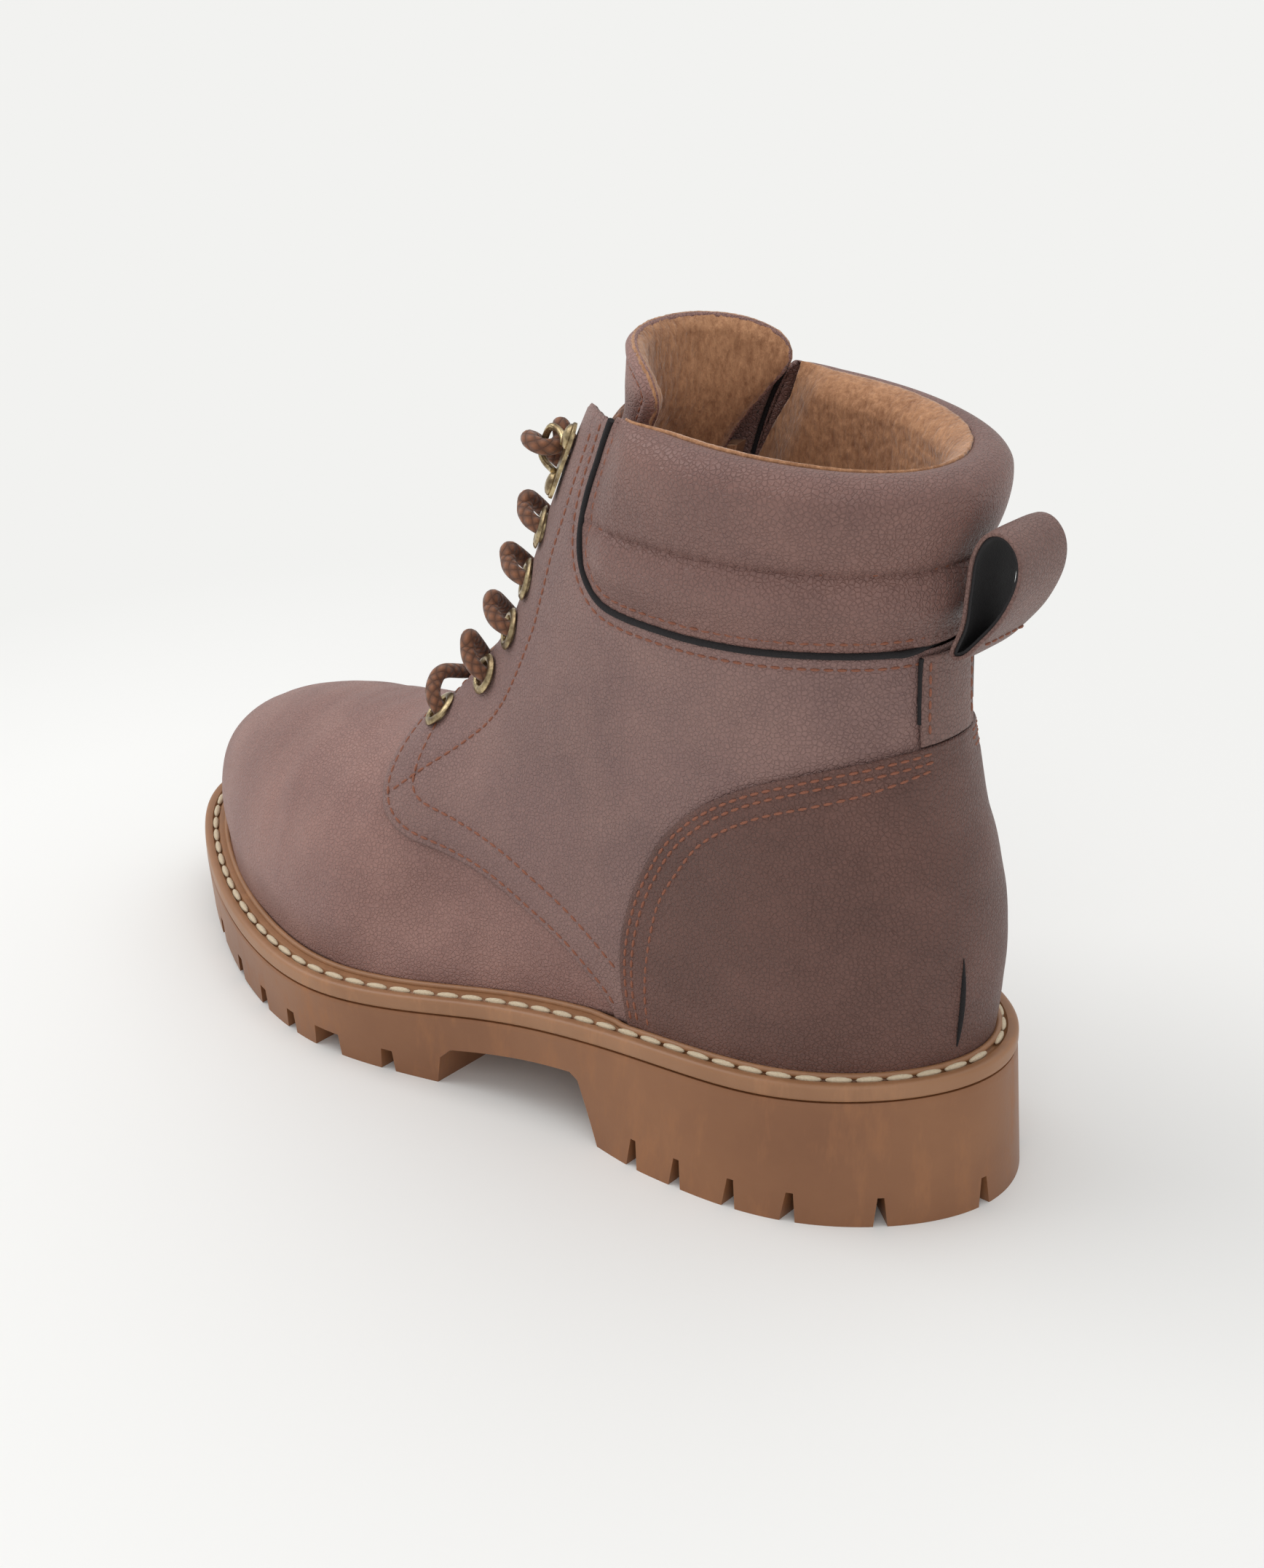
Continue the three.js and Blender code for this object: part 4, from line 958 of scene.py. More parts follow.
def face_at(value: float) -> Field:
    """A face at one distance from the last."""
    return lambda u, turn: np.full(np.shape(u), value)


@dataclass
class Upper:
    """The leather panels and their stitch rows."""

    row_first: float = 2.2
    row_second: float = 11.5
    row_seam: float = 3.8
    rows_counter: tuple[float, float] = (1.9, 4.2)
    strap_half: float = 10.5
    strap_row: float = 2.0
    strap_gap: float = 1.4
    seam_gap: float = 0.4
    top: float = 205.8
    corner: float = 7.5

    def vamp(self) -> bpy.types.Object:
        """The toe and sides of the foot, creased where it flexes."""
        panel = Panel((0, 13.3), (1.0, 2 * math.pi - 1.0), 96, 250)
        panel.line(minus(seam_field(VAMP_END)), 0, trim=True)

        def face(u: Array, turn: Array) -> Array:
            """Creases across the flex line."""
            p = LAST.point(u, turn)
            flex = smooth(-215, -180, p[:, 1]) * (1 - smooth(-150, -128, p[:, 1]))
            flex = flex * smooth(40, 70, p[:, 2])
            crease = [noise.noise((x * 0.014, y * 0.13 + x * 0.02, z * 0.04)) for x, y, z in p]
            return 0.9 * flex * np.array(crease)

        return panel.finish("vamp_leather", face, LEATHER)

    def below_top(self, u: Array, turn: Array) -> Array:
        """Height left under the eyestay's top edge, which rounds down at its front corner."""
        drop = self.corner * (1 - smooth(-2, 12, opening(u, turn)))
        return self.top - drop - LAST.point(u, turn)[:, 2]

    def quarter(self, side: int) -> bpy.types.Object:
        """One side of the ankle, with its eyestay."""
        panel = Panel((0, 15.0), (0.003 * side, 3.12 * side), 110, 170)
        collar_d = minus(COLLAR_D)
        for field, value in ((VAMP_D, 0), (collar_d, self.seam_gap), (opening, 0), (self.below_top, 0)):
            panel.line(field, value, trim=True)
        panel.lines(VAMP_D, 0.6, 1.2, self.row_first, 3.2, self.row_second)
        panel.lines(collar_d, 0.9, 1.6, 2.8, self.row_seam, 4.8)
        panel.lines(opening, 0.6, 1.3).lines(FACING_D, -1.0, 0, 1.0)

        def face(u: Array, turn: Array) -> Array:
            """Rolled cut edges and the valleys of the stitch rows."""
            vamp, collar, gap = VAMP_D(u, turn), -COLLAR_D(u, turn), opening(u, turn)
            top = self.below_top(u, turn)
            edges = rolled(vamp) + rolled(collar - self.seam_gap) + rolled(gap) + rolled(top)
            rows = row_dent(vamp, self.row_first) + row_dent(vamp, self.row_second)
            rows = rows + row_dent(collar, self.row_seam) + row_dent(FACING_D(u, turn), 0)
            return QUARTER_FACE + edges + rows

        name = "outer" if side > 0 else "inner"
        return panel.finish(f"quarter_leather_{name}", face, LEATHER)

    def counter(self) -> bpy.types.Object:
        """The heel overlay."""
        panel = Panel((0, 11), (-1.5, 1.5), 84, 190)
        field, third = minus(COUNTER_D), minus(seam_field(COUNTER_ROW))
        panel.line(field, 0, trim=True).lines(field, 0.6, 1.2, 1.9, 2.8, 3.7, 4.6)

        def face(u: Array, turn: Array) -> Array:
            """A rolled edge, its double row and the third row."""
            d = field(u, turn)
            first, second = (row_dent(d, at) for at in self.rows_counter)
            return OVERLAY_FACE + rolled(d) + first + second + row_dent(third(u, turn), 0)

        return panel.finish("counter_leather", face, LEATHER)

    def backstay(self) -> bpy.types.Object:
        """The strap up the back between the counter and the collar."""
        panel = Panel((8.5, 12.2), (-0.9, 0.9), 48, 90)

        def edge(u: Array, turn: Array) -> Array:
            """Distance in from the strap's edges."""
            return self.strap_half - np.abs(LAST.point(u, turn)[:, 0])

        for field, value in ((edge, 0), (COUNTER_D, 0.6), (minus(COLLAR_D), self.strap_gap)):
            panel.line(field, value, trim=True)
        panel.lines(edge, 0.6, 1.2, self.strap_row, 2.8)

        def face(u: Array, turn: Array) -> Array:
            """Rolled edges and two rows."""
            d = edge(u, turn)
            end = -COLLAR_D(u, turn) - self.strap_gap
            return OVERLAY_FACE + rolled(d) + row_dent(d, self.strap_row) + rolled(end)

        return panel.finish("backstay_leather", face, LEATHER)

    def binding(self) -> bpy.types.Object:
        """The dark bound edges of the strap."""
        parts = []
        for side in (1, -1):
            u, turn = LAST.behind(side * (self.strap_half + 0.1), np.linspace(10.1, 11.9, 40))
            parts.append((swept(LAST.off(u, turn, QUARTER_FACE + 0.9), 0.62, 8), TO_METRES))
        return gather("backstay_binding", parts)

    def dart(self) -> bpy.types.Object:
        """The short dark dart low on the heel."""
        u, turn = LAST.behind(9.0, np.linspace(0.6, 3.3, 24))
        line = LAST.off(u, turn, OVERLAY_FACE + 0.05)
        width = 0.9 * np.sin(np.linspace(0.25, math.pi - 0.1, 24))
        return to_object("heel_dart", swept(line, width, 8, up=(0, -1, 0), flat=0.5))

    def rows(self) -> list[ThreadRow]:
        """Every stitch row of the panels."""
        runs: list[ThreadRow] = []
        sink = 0.15
        quarter, overlay = face_at(QUARTER_FACE - sink), face_at(OVERLAY_FACE - sink)

        def off_welt(y: Array, z: Array) -> Array:
            """Places clear of the welt."""
            return z > LAST.welt_top(y) + 2

        def on_vamp_seam(y: Array, z: Array) -> Array:
            """Places of the vamp's seam that no other panel covers."""
            clear = (COUNTER_EDGE.distance(y, z) > 1) & (COLLAR_SEAM.distance(y, z) < -4)
            return clear & off_welt(y, z) & (z < 112)

        def on_eyestay(y: Array, z: Array) -> Array:
            """Places between the vamp's seam and the collar."""
            clear = (VAMP_SEAM.distance(y, z) > 3) & (COLLAR_SEAM.distance(y, z) < -5)
            return clear & (z < 203)

        for side in (1, -1):
            for beside in (self.row_first, self.row_second):
                runs += side_row(VAMP_SEAM, beside, quarter, side, on_vamp_seam)
            runs += side_row(COLLAR_SEAM, -self.row_seam, quarter, side, lambda y, z: z < 205)
            runs += side_row(FACING_ROW, 0, quarter, side, on_eyestay)
            for beside in self.rows_counter:
                runs += side_row(COUNTER_EDGE, -beside, overlay, side, off_welt)
            runs += side_row(COUNTER_ROW, 0, overlay, side, off_welt)
            runs.append(across_row(side * 8.5, (9.8, 11.9), overlay))
        return runs


# ---------------------------------------------------------------- collar
@dataclass
class Collar:
    """The padded two-roll collar, its piping, pile and pull tab."""

    channel: float = 13.1
    crest: float = 14.45
    bulge: float = 4.6
    pile_face: float = -8.6
    fold: float = 1.4
    leather_share: float = 0.6
    row: float = 3.2
    cap: float = 15
    uneven: float = 0.8
    tab_half: float = 10.5
    tab_loop: tuple[tuple[float, float], ...] = (
        (33.7, 158.2), (36.3, 166), (37.1, 175), (38.1, 184), (41.5, 189.6), (46.5, 190.2), (50.3, 186),
        (50.5, 179), (46.7, 170), (40.8, 162.2), (36.7, 158))

    def fade(self, d: Array) -> Array:
        """How full the padding is at a distance from the collar's edge."""
        return smooth(0, 13, d - 1.0)

    def outer(self, u: Array, turn: Array) -> Array:
        """The rolls' outer face above the last."""
        d = COLLAR_D(u, turn)
        start = 12.0
        below = np.clip((u - start) / (self.channel - start), 0, 1)
        low = np.sin(math.pi * below) ** 0.7 * self.bulge * 0.72
        above = np.clip((u - self.channel) / (self.crest - self.channel), 0, 1)
        high = np.sin(math.pi / 2 * above) ** 0.62 * self.bulge
        full = self.fade(d) * np.where(u > self.channel, high, low)
        pucker = 0.22 * np.sin(turn * 95 + 3 * np.sin(turn * 11))
        near = bell(u - self.channel, 0.16) + bell(d - self.row, 2.2)
        return QUARTER_FACE + full + pucker * near - 0.35 * bell(u - self.channel, 0.05)

    def roll(self, over: Array, turn: Array) -> tuple[Array, Array]:
        """Stations and faces round the collar's top edge.

        Args:
            over: the angle passed, from 0 outside to half a turn inside.
            turn: the turns round the last.

        Returns:
            The stations and the distances from the last.
        """
        seat = self.crest + 0.52 * np.sin(over)
        d = COLLAR_D(np.minimum(seat, self.cap), turn)
        crest = self.outer(np.full_like(seat, self.crest), turn)
        inner = lerp(QUARTER_FACE - 2.2, self.pile_face + 0.2, self.fade(d))
        return seat, (crest + inner) / 2 + (crest - inner) / 2 * np.cos(over)

    def cover(self) -> bpy.types.Object:
        """The leather cover, rolled over the top edge."""
        panel = Panel((11.3, self.crest + self.fold * self.leather_share), (-2.6, 2.6), 96, 320)
        panel.line(COLLAR_D, 0.4, trim=True).lines(COLLAR_D, 0.9, 1.6, self.row, 4.4)
        bm = panel.bm
        u, turn = panel.places()
        over = np.clip((u - self.crest) / self.fold, 0, 1) * math.pi
        seat, face = self.roll(over, turn)
        seat, face = np.where(over > 0, seat, u), np.where(over > 0, face, self.outer(u, turn))
        d = COLLAR_D(np.minimum(u, self.cap), turn)
        face = face + rolled(d - 0.4) + row_dent(d, self.row)
        points, _ = laid(seat, turn, face, self.uneven)
        for vert, p in zip(bm.verts, points):
            vert.co = p
        bmesh.ops.reverse_faces(bm, faces=bm.faces)
        piece = to_object("collar_leather", bm)
        modify(piece, "SOLIDIFY", thickness=LEATHER * MM, offset=-1)
        return piece

    def pile(self) -> bpy.types.Object:
        """The brushed pile inside the collar, from under the leather's fold down into the shaft."""
        panel = Panel((self.leather_share - 0.06, 3.0), (-2.5, 2.5), 90, 300)

        def field(w: Array, turn: Array) -> Array:
            """Distance in from the collar's front edge."""
            return COLLAR_D(np.clip(self.crest + 0.5 - (w - 1), 12.4, 14.9), turn)

        panel.line(field, self.row, trim=True)
        w, turn = panel.places()
        seat, face = self.roll(np.clip(w, 0, 1) * math.pi, turn)
        down = np.clip((w - 1) / 2, 0, 1)
        seat = np.where(w > 1, lerp(self.crest, 10.5, down), seat)
        swell = 1.4 * np.sin(math.pi * np.clip((w - 0.3) / 1.4, 0, 1)) * smooth(4, 20, field(w, turn))
        tuft = tufts(LAST.point(seat, turn), (0.3, 0.5), (0.2, 1.3))
        points, _ = laid(seat, turn, face - 0.5 - swell + tuft, self.uneven)
        for vert, p in zip(panel.bm.verts, points):
            vert.co = p
        piece = to_object("collar_pile", panel.bm)
        modify(piece, "SOLIDIFY", thickness=1.0 * MM, offset=0)
        return piece

    def piping(self) -> bpy.types.Object:
        """The dark piping down the collar's front and round its lower seam."""
        line = COLLAR_SEAM.line
        keep = (line[:, 1] < 206.4) & (line[:, 0] < LAST.rear_y(line[:, 1]) - 1.0)
        runs = []
        for side in (1, -1):
            u, turn = LAST.locate(line[keep, 0], line[keep, 1], side)
            runs.append(laid(u, turn, 1.6)[0])
        path = spaced(np.vstack([runs[0], runs[1][::-1]])[::3], 420)
        return to_object("collar_piping_cord", swept(path, 0.9, 10))

    def rows(self) -> list[ThreadRow]:
        """The row above the piping and the one in the channel."""
        runs: list[ThreadRow] = []

        def sunk(u: Array, turn: Array) -> Array:
            """The cover's face, with the thread drawn into it."""
            return self.outer(u, turn) - 0.3

        for side in (1, -1):
            runs += side_row(COLLAR_SEAM, self.row, sunk, side, lambda y, z: z < 203)
            turn = np.linspace(0.05, 2.3, 90) * side
            turn = turn[COLLAR_D(np.full_like(turn, self.channel), turn) > 5]
            u = np.full_like(turn, self.channel)
            runs.append(ThreadRow(*laid(u, turn, self.outer(u, turn), self.uneven)))
        return runs

    def tab(self) -> tuple[bpy.types.Object, bpy.types.Object, bpy.types.Object]:
        """The pull tab's leather, the webbing inside it and its stitches."""
        count = 72
        loop = spaced(self.tab_loop, count, closed=True)
        along = np.roll(loop, -1, axis=0) - np.roll(loop, 1, axis=0)
        along /= np.linalg.norm(along, axis=1, keepdims=True)
        out = np.stack([-along[:, 1], along[:, 0]], axis=1)
        if ((loop - loop.mean(axis=0)) * out).sum() < 0:
            out = -out

        def layer(lift: float, half: float) -> Callable[[Array, Array], Array]:
            """A strip round the loop at a distance from its middle."""

            def place(s: Array, t: Array) -> Array:
                """Carries the strip's width round the loop."""
                i = np.rint(t * count).astype(int) % count
                crown = 0.35 * (1 - (2 * s - 1) ** 4)
                p = loop[i] + out[i] * (lift + crown)[:, None]
                return np.stack([(2 * s - 1) * half, p[:, 0], p[:, 1]], axis=-1)

            return place

        pieces = []
        for name, lift, half, thick in (("pull_tab_leather", 0.55, self.tab_half, 1.0),
                                        ("pull_tab_webbing", -0.55, self.tab_half - 0.7, 0.7)):
            bm = skin(22, count, layer(lift, half), weld=1e-3, uv=(1, 5))
            piece = to_object(name, outward(bm), sharp=180)
            modify(piece, "SOLIDIFY", thickness=thick * MM, offset=-1)
            modify(piece, "BEVEL", width=0.25 * MM, segments=2, limit_method="ANGLE",
                   angle_limit=math.radians(50))
            pieces.append(piece)
        foot = np.argmin(np.abs(loop[:, 1] - 162.5) + np.where(loop[:, 0] > 38, 0, 99))
        p, x = loop[foot] + out[foot] * 1.0, np.linspace(-9.2, 9.2, 24)
        row = ThreadRow(np.column_stack([x, np.full(24, p[0]), np.full(24, p[1])]),
                        np.tile([0.0, *out[foot]], (24, 1)))
        return pieces[0], pieces[1], Stitching(2.3, 3.0, 0.4, 0.0).build("pull_tab_stitches", [row])


# ---------------------------------------------------------------- tongue
@dataclass
class Tongue:
    """The padded tongue: leather outside, pile inside, a rolled bead round its edge."""

    face: float = -8.0
    back: float = -14.2
    meet: float = -11.0
    flare: float = 4.0
    row: float = 4.6

    def lean(self, u: Array) -> Array:
        """How far the top leans out over the eyestays."""
        return self.flare * smooth(14.6, 15.8, u)

    def panel(self) -> Panel:
        """The tongue's outline on the last."""
        panel = Panel((6, 16.6), (math.pi - 1.35, math.pi + 1.35), 110, 120)
        panel.line(TONGUE_D, 0, trim=True).line(THROAT_D, 2, trim=True)
        return panel.lines(TONGUE_D, 0.5, 1.2, 2.2, 3.4, self.row, 5.4)

    def leather(self) -> bpy.types.Object:
        """The outer skin, bead and field."""

        def face(u: Array, turn: Array) -> Array:
            """The bead, its stitch valley and the padded field."""
            d = TONGUE_D(u, turn)
            round_over = (self.meet - self.face) * np.clip(1 - d / 3.2, 0, 1) ** 2.4
            field = 0.9 * smooth(5, 14, d)
            return self.face - 0.4 + self.lean(u) + round_over + field + row_dent(d, self.row, 0.7)

        return self.panel().finish("tongue_leather", face, LEATHER)

    def pile(self) -> bpy.types.Object:
        """The brushed pile inside."""

        def face(u: Array, turn: Array) -> Array:
            """Tufts of the pile, meeting the bead at the edge."""
            d = TONGUE_D(u, turn)
            tuft = tufts(LAST.point(u, turn), (0.5, 0.6), (0.4, 1.4))
            edge = (self.meet - self.back) * np.clip(1 - d / 4, 0, 1) ** 2
            return self.back + 0.4 + self.lean(u) + edge + tuft * 0.8

        return self.panel().finish("tongue_pile", face, 0.8, inner=False)

    def rows(self) -> list[ThreadRow]:
        """The row inside the bead."""
        runs: list[ThreadRow] = []

        def valley(u: Array, turn: Array) -> Array:
            """The bottom of the stitch valley."""
            return self.face - 0.95 + self.lean(u)

        for side in (1, -1):
            runs += side_row(TONGUE_EDGE, self.row, valley, side, lambda y, z: z > 196)
        return runs


# ---------------------------------------------------------------- lacing and metal
@dataclass
class Lacing:
    """The eyelets, the speed hooks and the lace's route through them."""

    eyelet_x: float = 19.0
    low: float = 102.0
    high: float = 166.0
    per_side: int = 5
    hook_z: float = 187.0
    reach: float = 8.0
    bar_height: float = 8.2
    radius: float = 2.2
    bend: float = 6.4
    level: float = 1.2
    tucked: tuple[float, ...] = (198, 190, 182, 174, 166)

    def height(self, k: float) -> float:
        """The height of the eyelets' k-th row."""
        return self.low + (self.high - self.low) * k / (self.per_side - 1)

    def eyelet_seat(self, k: float, side: int) -> Seat:
        """An eyelet's place."""
        return LAST.front(self.eyelet_x, self.height(k), side)

    def hook_seat(self, side: int) -> Seat:
        """A hook's place."""
        return LAST.front(self.eyelet_x + 3, self.hook_z, side)

    def eyelets(self) -> bpy.types.Object:
        """All the eyelets."""
        profile = ((3.55, -1.9), (3.5, 2.5), (3.62, 2.95), (3.95, 3.25), (4.5, 3.32), (5.1, 3.15),
                   (5.65, 2.8), (5.98, 2.4), (5.95, 2.15), (5.6, 2.0), (4.05, 1.95), (4.05, -1.9),
                   (3.55, -1.9))
        return gather("eyelets", [(lathe(profile, 32), self.eyelet_seat(k, side).matrix())
                                  for side in (1, -1) for k in range(self.per_side)])

    def plate(self) -> bmesh.types.BMesh:
        """A hook's base plate: a long rounded slip of sheet."""
        bm = bmesh.new()
        bmesh.ops.create_circle(bm, cap_ends=True, segments=36, radius=4)
        for vert in bm.verts:
            vert.co.y += math.copysign(7.5, vert.co.y + 1e-6)
        raised(bm, (0, 0, 1))
        rim = [e for e in bm.edges if all(v.co.z > 0.9 for v in e.verts) and len(e.link_faces) == 2]
        bmesh.ops.bevel(bm, geom=rim, offset=0.4, segments=3, profile=0.5, affect="EDGES",
                        material=-1)
        bmesh.ops.translate(bm, vec=(0, 0, 2.3), verts=bm.verts)
        return bm

    def hooks(self) -> bpy.types.Object:
        """Both hooks: plates, rivets and bars."""
        parts = []
        dome = ((0, 2.9), (1.4, 2.9), (1.4, 3.3), (2.9, 3.3), (2.95, 3.6), (2.5, 4.3), (1.6, 4.8),
                (0.7, 5.0), (0, 5.05))
        half = [(1, -4.4, 3.9), (3.2, -5.2, 4.6), (5.4, -5.4, 6.2), (7.2, -4.6, 7.7), (8.0, -2.6, 8.2)]
        steps = [*half, (8.2, 0, 8.3), *[(i, -u, o) for i, u, o in half[::-1]]]
        for side in (1, -1):
            seat = self.hook_seat(side)
            parts.append((self.plate(), seat.matrix()))
            for end in (-7.5, 7.5):
                oval_head = Matrix.Translation((0, end, 0)) @ Matrix.Diagonal((1, 1.22, 1, 1))
                parts.append((lathe(dome, 24), seat.matrix() @ oval_head))
            path = spaced(np.array([seat.local(*step) for step in steps]), 48)
            parts.append((swept(path, 0.95, 12, up=tuple(seat.out)), TO_METRES))
        return gather("lace_hooks", parts)

    def turn(self, k: int, side: int) -> list[Array]:
        """The route down through one eyelet."""
        seat, bend, level = self.eyelet_seat(k, side), self.bend, self.level
        points = [seat.local(10.6, -1.5, level + bend * 0.86)]
        for i in range(5):
            a = math.pi / 2 + i * math.pi / 4
            points.append(seat.local(-0.3 + bend + bend * math.cos(a), (i - 2) * 0.35,
                                     level + bend * math.sin(a)))
        return [*points, seat.local(10.2, 1.5, level - bend - 1.6)]

    def half(self, side: int) -> list[Array]:
        """Half the lace, from the bottom run to its tucked end."""
        points, at = [], side
        for k in range(self.per_side):
            points += self.turn(k, at)
            middle = LAST.station(np.array([self.height(k + 0.5)]))
            points.append(LAST.off(middle, np.array([math.pi]),
                                   np.array([2.4 if side > 0 else -2.9]))[0])
            at = -at
        hook, r = self.hook_seat(at), self.reach
        for step in ((r + 4, -2.5, 4.5), (r, -1.4, 4.3), (r - 3, -0.6, 5.4), (r - 4.3, 0, self.bar_height),
                     (r - 3, 0.6, 11.2), (r, 1.4, 12.3), (r + 4, 4, 10), (r + 7.5, 8, 5), (r + 8.3, 11, 0),
                     (r + 7, 13.5, -5), (r + 1.5, 14.5, -6.2)):
            points.append(hook.local(*step))
        for z in self.tucked:
            points.append(LAST.front(self.eyelet_x + 7, z, at).local(0, 0, -5))
        return points

    def lace(self) -> bpy.types.Object:
        """The braided lace."""
        between = (self.eyelet_seat(0, 1).at + self.eyelet_seat(0, -1).at) / 2
        start = between + np.array([0, -6, 6.5])
        path = spaced(np.array([*self.half(1)[::-1], start, *self.half(-1)]), 1300)
        return to_object("lace_braid", swept(path, self.radius, 14), sharp=180)


# ---------------------------------------------------------------- finishes
class Sock:
    """A node's output, or a number, that Python operators turn into Math nodes."""

    def __init__(self, tree: bpy.types.NodeTree, out: object) -> None:
        """Wraps an output socket or a number."""
        self.tree, self.out = tree, out

    def math(self, operation: str, *others: object) -> "Sock":
        """Adds a Math node working on this value and others."""
        node = self.tree.nodes.new("ShaderNodeMath")
        node.operation = operation
        for i, value in enumerate((self, *others)):
            wire(self.tree, node.inputs[i], value)
        return Sock(self.tree, node.outputs[0])

    def __add__(self, other: object) -> "Sock":
        """Sum."""
        return self.math("ADD", other)

    def __radd__(self, other: object) -> "Sock":
        """Sum."""
        return self.math("ADD", other)

    def __sub__(self, other: object) -> "Sock":
        """Difference."""
        return self.math("SUBTRACT", other)

    def __rsub__(self, other: object) -> "Sock":
        """Difference from a number."""
        return Sock(self.tree, other).math("SUBTRACT", self)

    def __mul__(self, other: object) -> "Sock":
        """Product."""
        return self.math("MULTIPLY", other)

    def __rmul__(self, other: object) -> "Sock":
        """Product."""
        return self.math("MULTIPLY", other)


def wire(tree: bpy.types.NodeTree, socket: bpy.types.NodeSocket, value: object) -> None:
    """Sets a socket to a number or tuple, or links it."""
    inner = value.out if isinstance(value, Sock) else value
    if isinstance(inner, bpy.types.NodeSocket):
        tree.links.new(inner, socket)
    else:
        socket.default_value = inner


Colour = tuple[float, float, float]


def linear(colour: Colour) -> tuple[float, float, float, float]:
    """Scene-linear colour with alpha, from 0 to 255 display values."""
    parts = [c / 255 for c in colour]
    return (*(c / 12.92 if c <= 0.04045 else ((c + 0.055) / 1.055) ** 2.4 for c in parts), 1.0)


class Shader:
    """A material under construction."""

    def __init__(self, name: str) -> None:
        """Starts an empty Principled material."""
        self.material = bpy.data.materials.new(name)
        self.material.use_nodes = True
        self.tree = self.material.node_tree
        self.surface = self.tree.nodes["Principled BSDF"]
        self.object = self.node("TexCoord").outputs["Object"]
        self.uv = self.node("UVMap").outputs[0]

    def node(self, kind: str, settings: Optional[dict[str, object]] = None,
             **values: object) -> bpy.types.Node:
        """Adds a node.

        Args:
            kind: the node's type, without its prefix.
            settings: the node's own settings, set first. The key stops gives a ramp its stops, each
                a place and a grey or a colour.
            values: socket names, with _ for a space, and their values or links.

        Returns:
            The node.
        """
        node = self.tree.nodes.new("ShaderNode" + kind)
        for key, value in (settings or {}).items():
            if key == "stops":
                ramp = node.color_ramp
                while len(ramp.elements) < len(value):
                    ramp.elements.new(0.5)
                for element, (at, colour) in zip(ramp.elements, value):
                    element.position = at
                    element.color = colour if isinstance(colour, tuple) else (colour,) * 3 + (1,)
            else:
                setattr(node, key, value)
        for key, value in values.items():
            wire(self.tree, node.inputs[key.replace("_", " ")], value)
        return node

    def at(self, scale: Colour = (1, 1, 1), uv: bool = False, turn: Colour = (0, 0, 0)) -> Sock:
        """Pattern coordinates, stretched and turned."""
        where = self.uv if uv else self.object
        node = self.node("Mapping", None, Vector=where, Scale=scale, Rotation=turn)
        return Sock(self.tree, node.outputs[0])

    def noise(self, scale: float, detail: float = 3, rough: float = 0.55,
              where: Optional[Sock] = None) -> Sock:
        """Noise from 0 to 1."""
        node = self.node("TexNoise", None, Vector=where or self.object, Scale=scale, Detail=detail,
                         Roughness=rough)
        return Sock(self.tree, node.outputs[0])

    def ramp(self, value: Sock, *stops: tuple[float, object]) -> Sock:
        """A value carried through ramp stops."""
        return Sock(self.tree, self.node("ValToRGB", {"stops": stops}, Fac=value).outputs[0])

    def mix(self, factor: object, a: object, b: object, blend: str = "MIX") -> Sock:
        """Two colours mixed."""
        node = self.node("Mix", {"data_type": "RGBA", "blend_type": blend})
        for i, value in ((0, factor), (6, a), (7, b)):
            wire(self.tree, node.inputs[i], value)
        return Sock(self.tree, node.outputs[2])

    def done(self, colour: object, rough: object, height: Optional[Sock] = None,
             distance: float = 0.0003, strength: float = 0.5, **fixed: object) -> bpy.types.Material:
        """Links the finished values to the surface.

        Args:
            colour: base colour.
            rough: roughness.
            height: what the bump follows.
            distance: the bump's height in metres.
            strength: the bump's strength.
            fixed: constants for other sockets, with _ for a space.

        Returns:
            The material.
        """
        wire(self.tree, self.surface.inputs["Base Color"], colour)
        wire(self.tree, self.surface.inputs["Roughness"], rough)
        if height is not None:
            bump = self.node("Bump", None, Height=height, Distance=distance, Strength=strength)
            wire(self.tree, self.surface.inputs["Normal"], bump.outputs[0])
        for key, value in fixed.items():
            self.surface.inputs[key.replace("_", " ")].default_value = value
        return self.material


@dataclass(frozen=True)
class Nubuck:
    """Oiled nubuck: mottled, with a fine grain and dry, rubbed patches."""

    name: str
    middle: Colour
    dark: Colour
    rubbed: Colour
    rough: float = 0.62

    def build(self) -> bpy.types.Material:
        """Makes the material."""
        s = Shader(self.name)
        cloud = s.ramp(s.noise(15, 4, 0.55), (0.28, 0.0), (0.72, 1.0))
        blotch = s.ramp(s.noise(42, 3, 0.5), (0.42, 0.0), (0.75, 1.0))
        speck = s.ramp(s.noise(900, 3, 0.7), (0.4, 0.0), (0.68, 1.0))
        base = s.mix(cloud * 0.6 + 0.35, linear(self.dark), linear(self.middle))
        base = s.mix(blotch * 0.4, base, linear(self.rubbed))
        base = s.mix(speck * 0.25, base, linear(self.rubbed))
        cells = Sock(s.tree, s.node("TexVoronoi", {"feature": "DISTANCE_TO_EDGE"}, Vector=s.object,
                                    Scale=820.0).outputs["Distance"])
        grain = s.ramp(cells, (0.0, 0.0), (0.16, 1.0)) * 0.5 + s.noise(1500, 2, 0.6) * 0.4
        grain = grain + s.noise(210, 4, 0.6) * 0.7
        return s.done(base, self.rough - 0.1 + (1 - cloud) * -0.08 + speck * 0.1, grain, 0.0005, 0.85,
                      Specular_IOR_Level=0.45, Sheen_Weight=0.05, Sheen_Roughness=0.5)


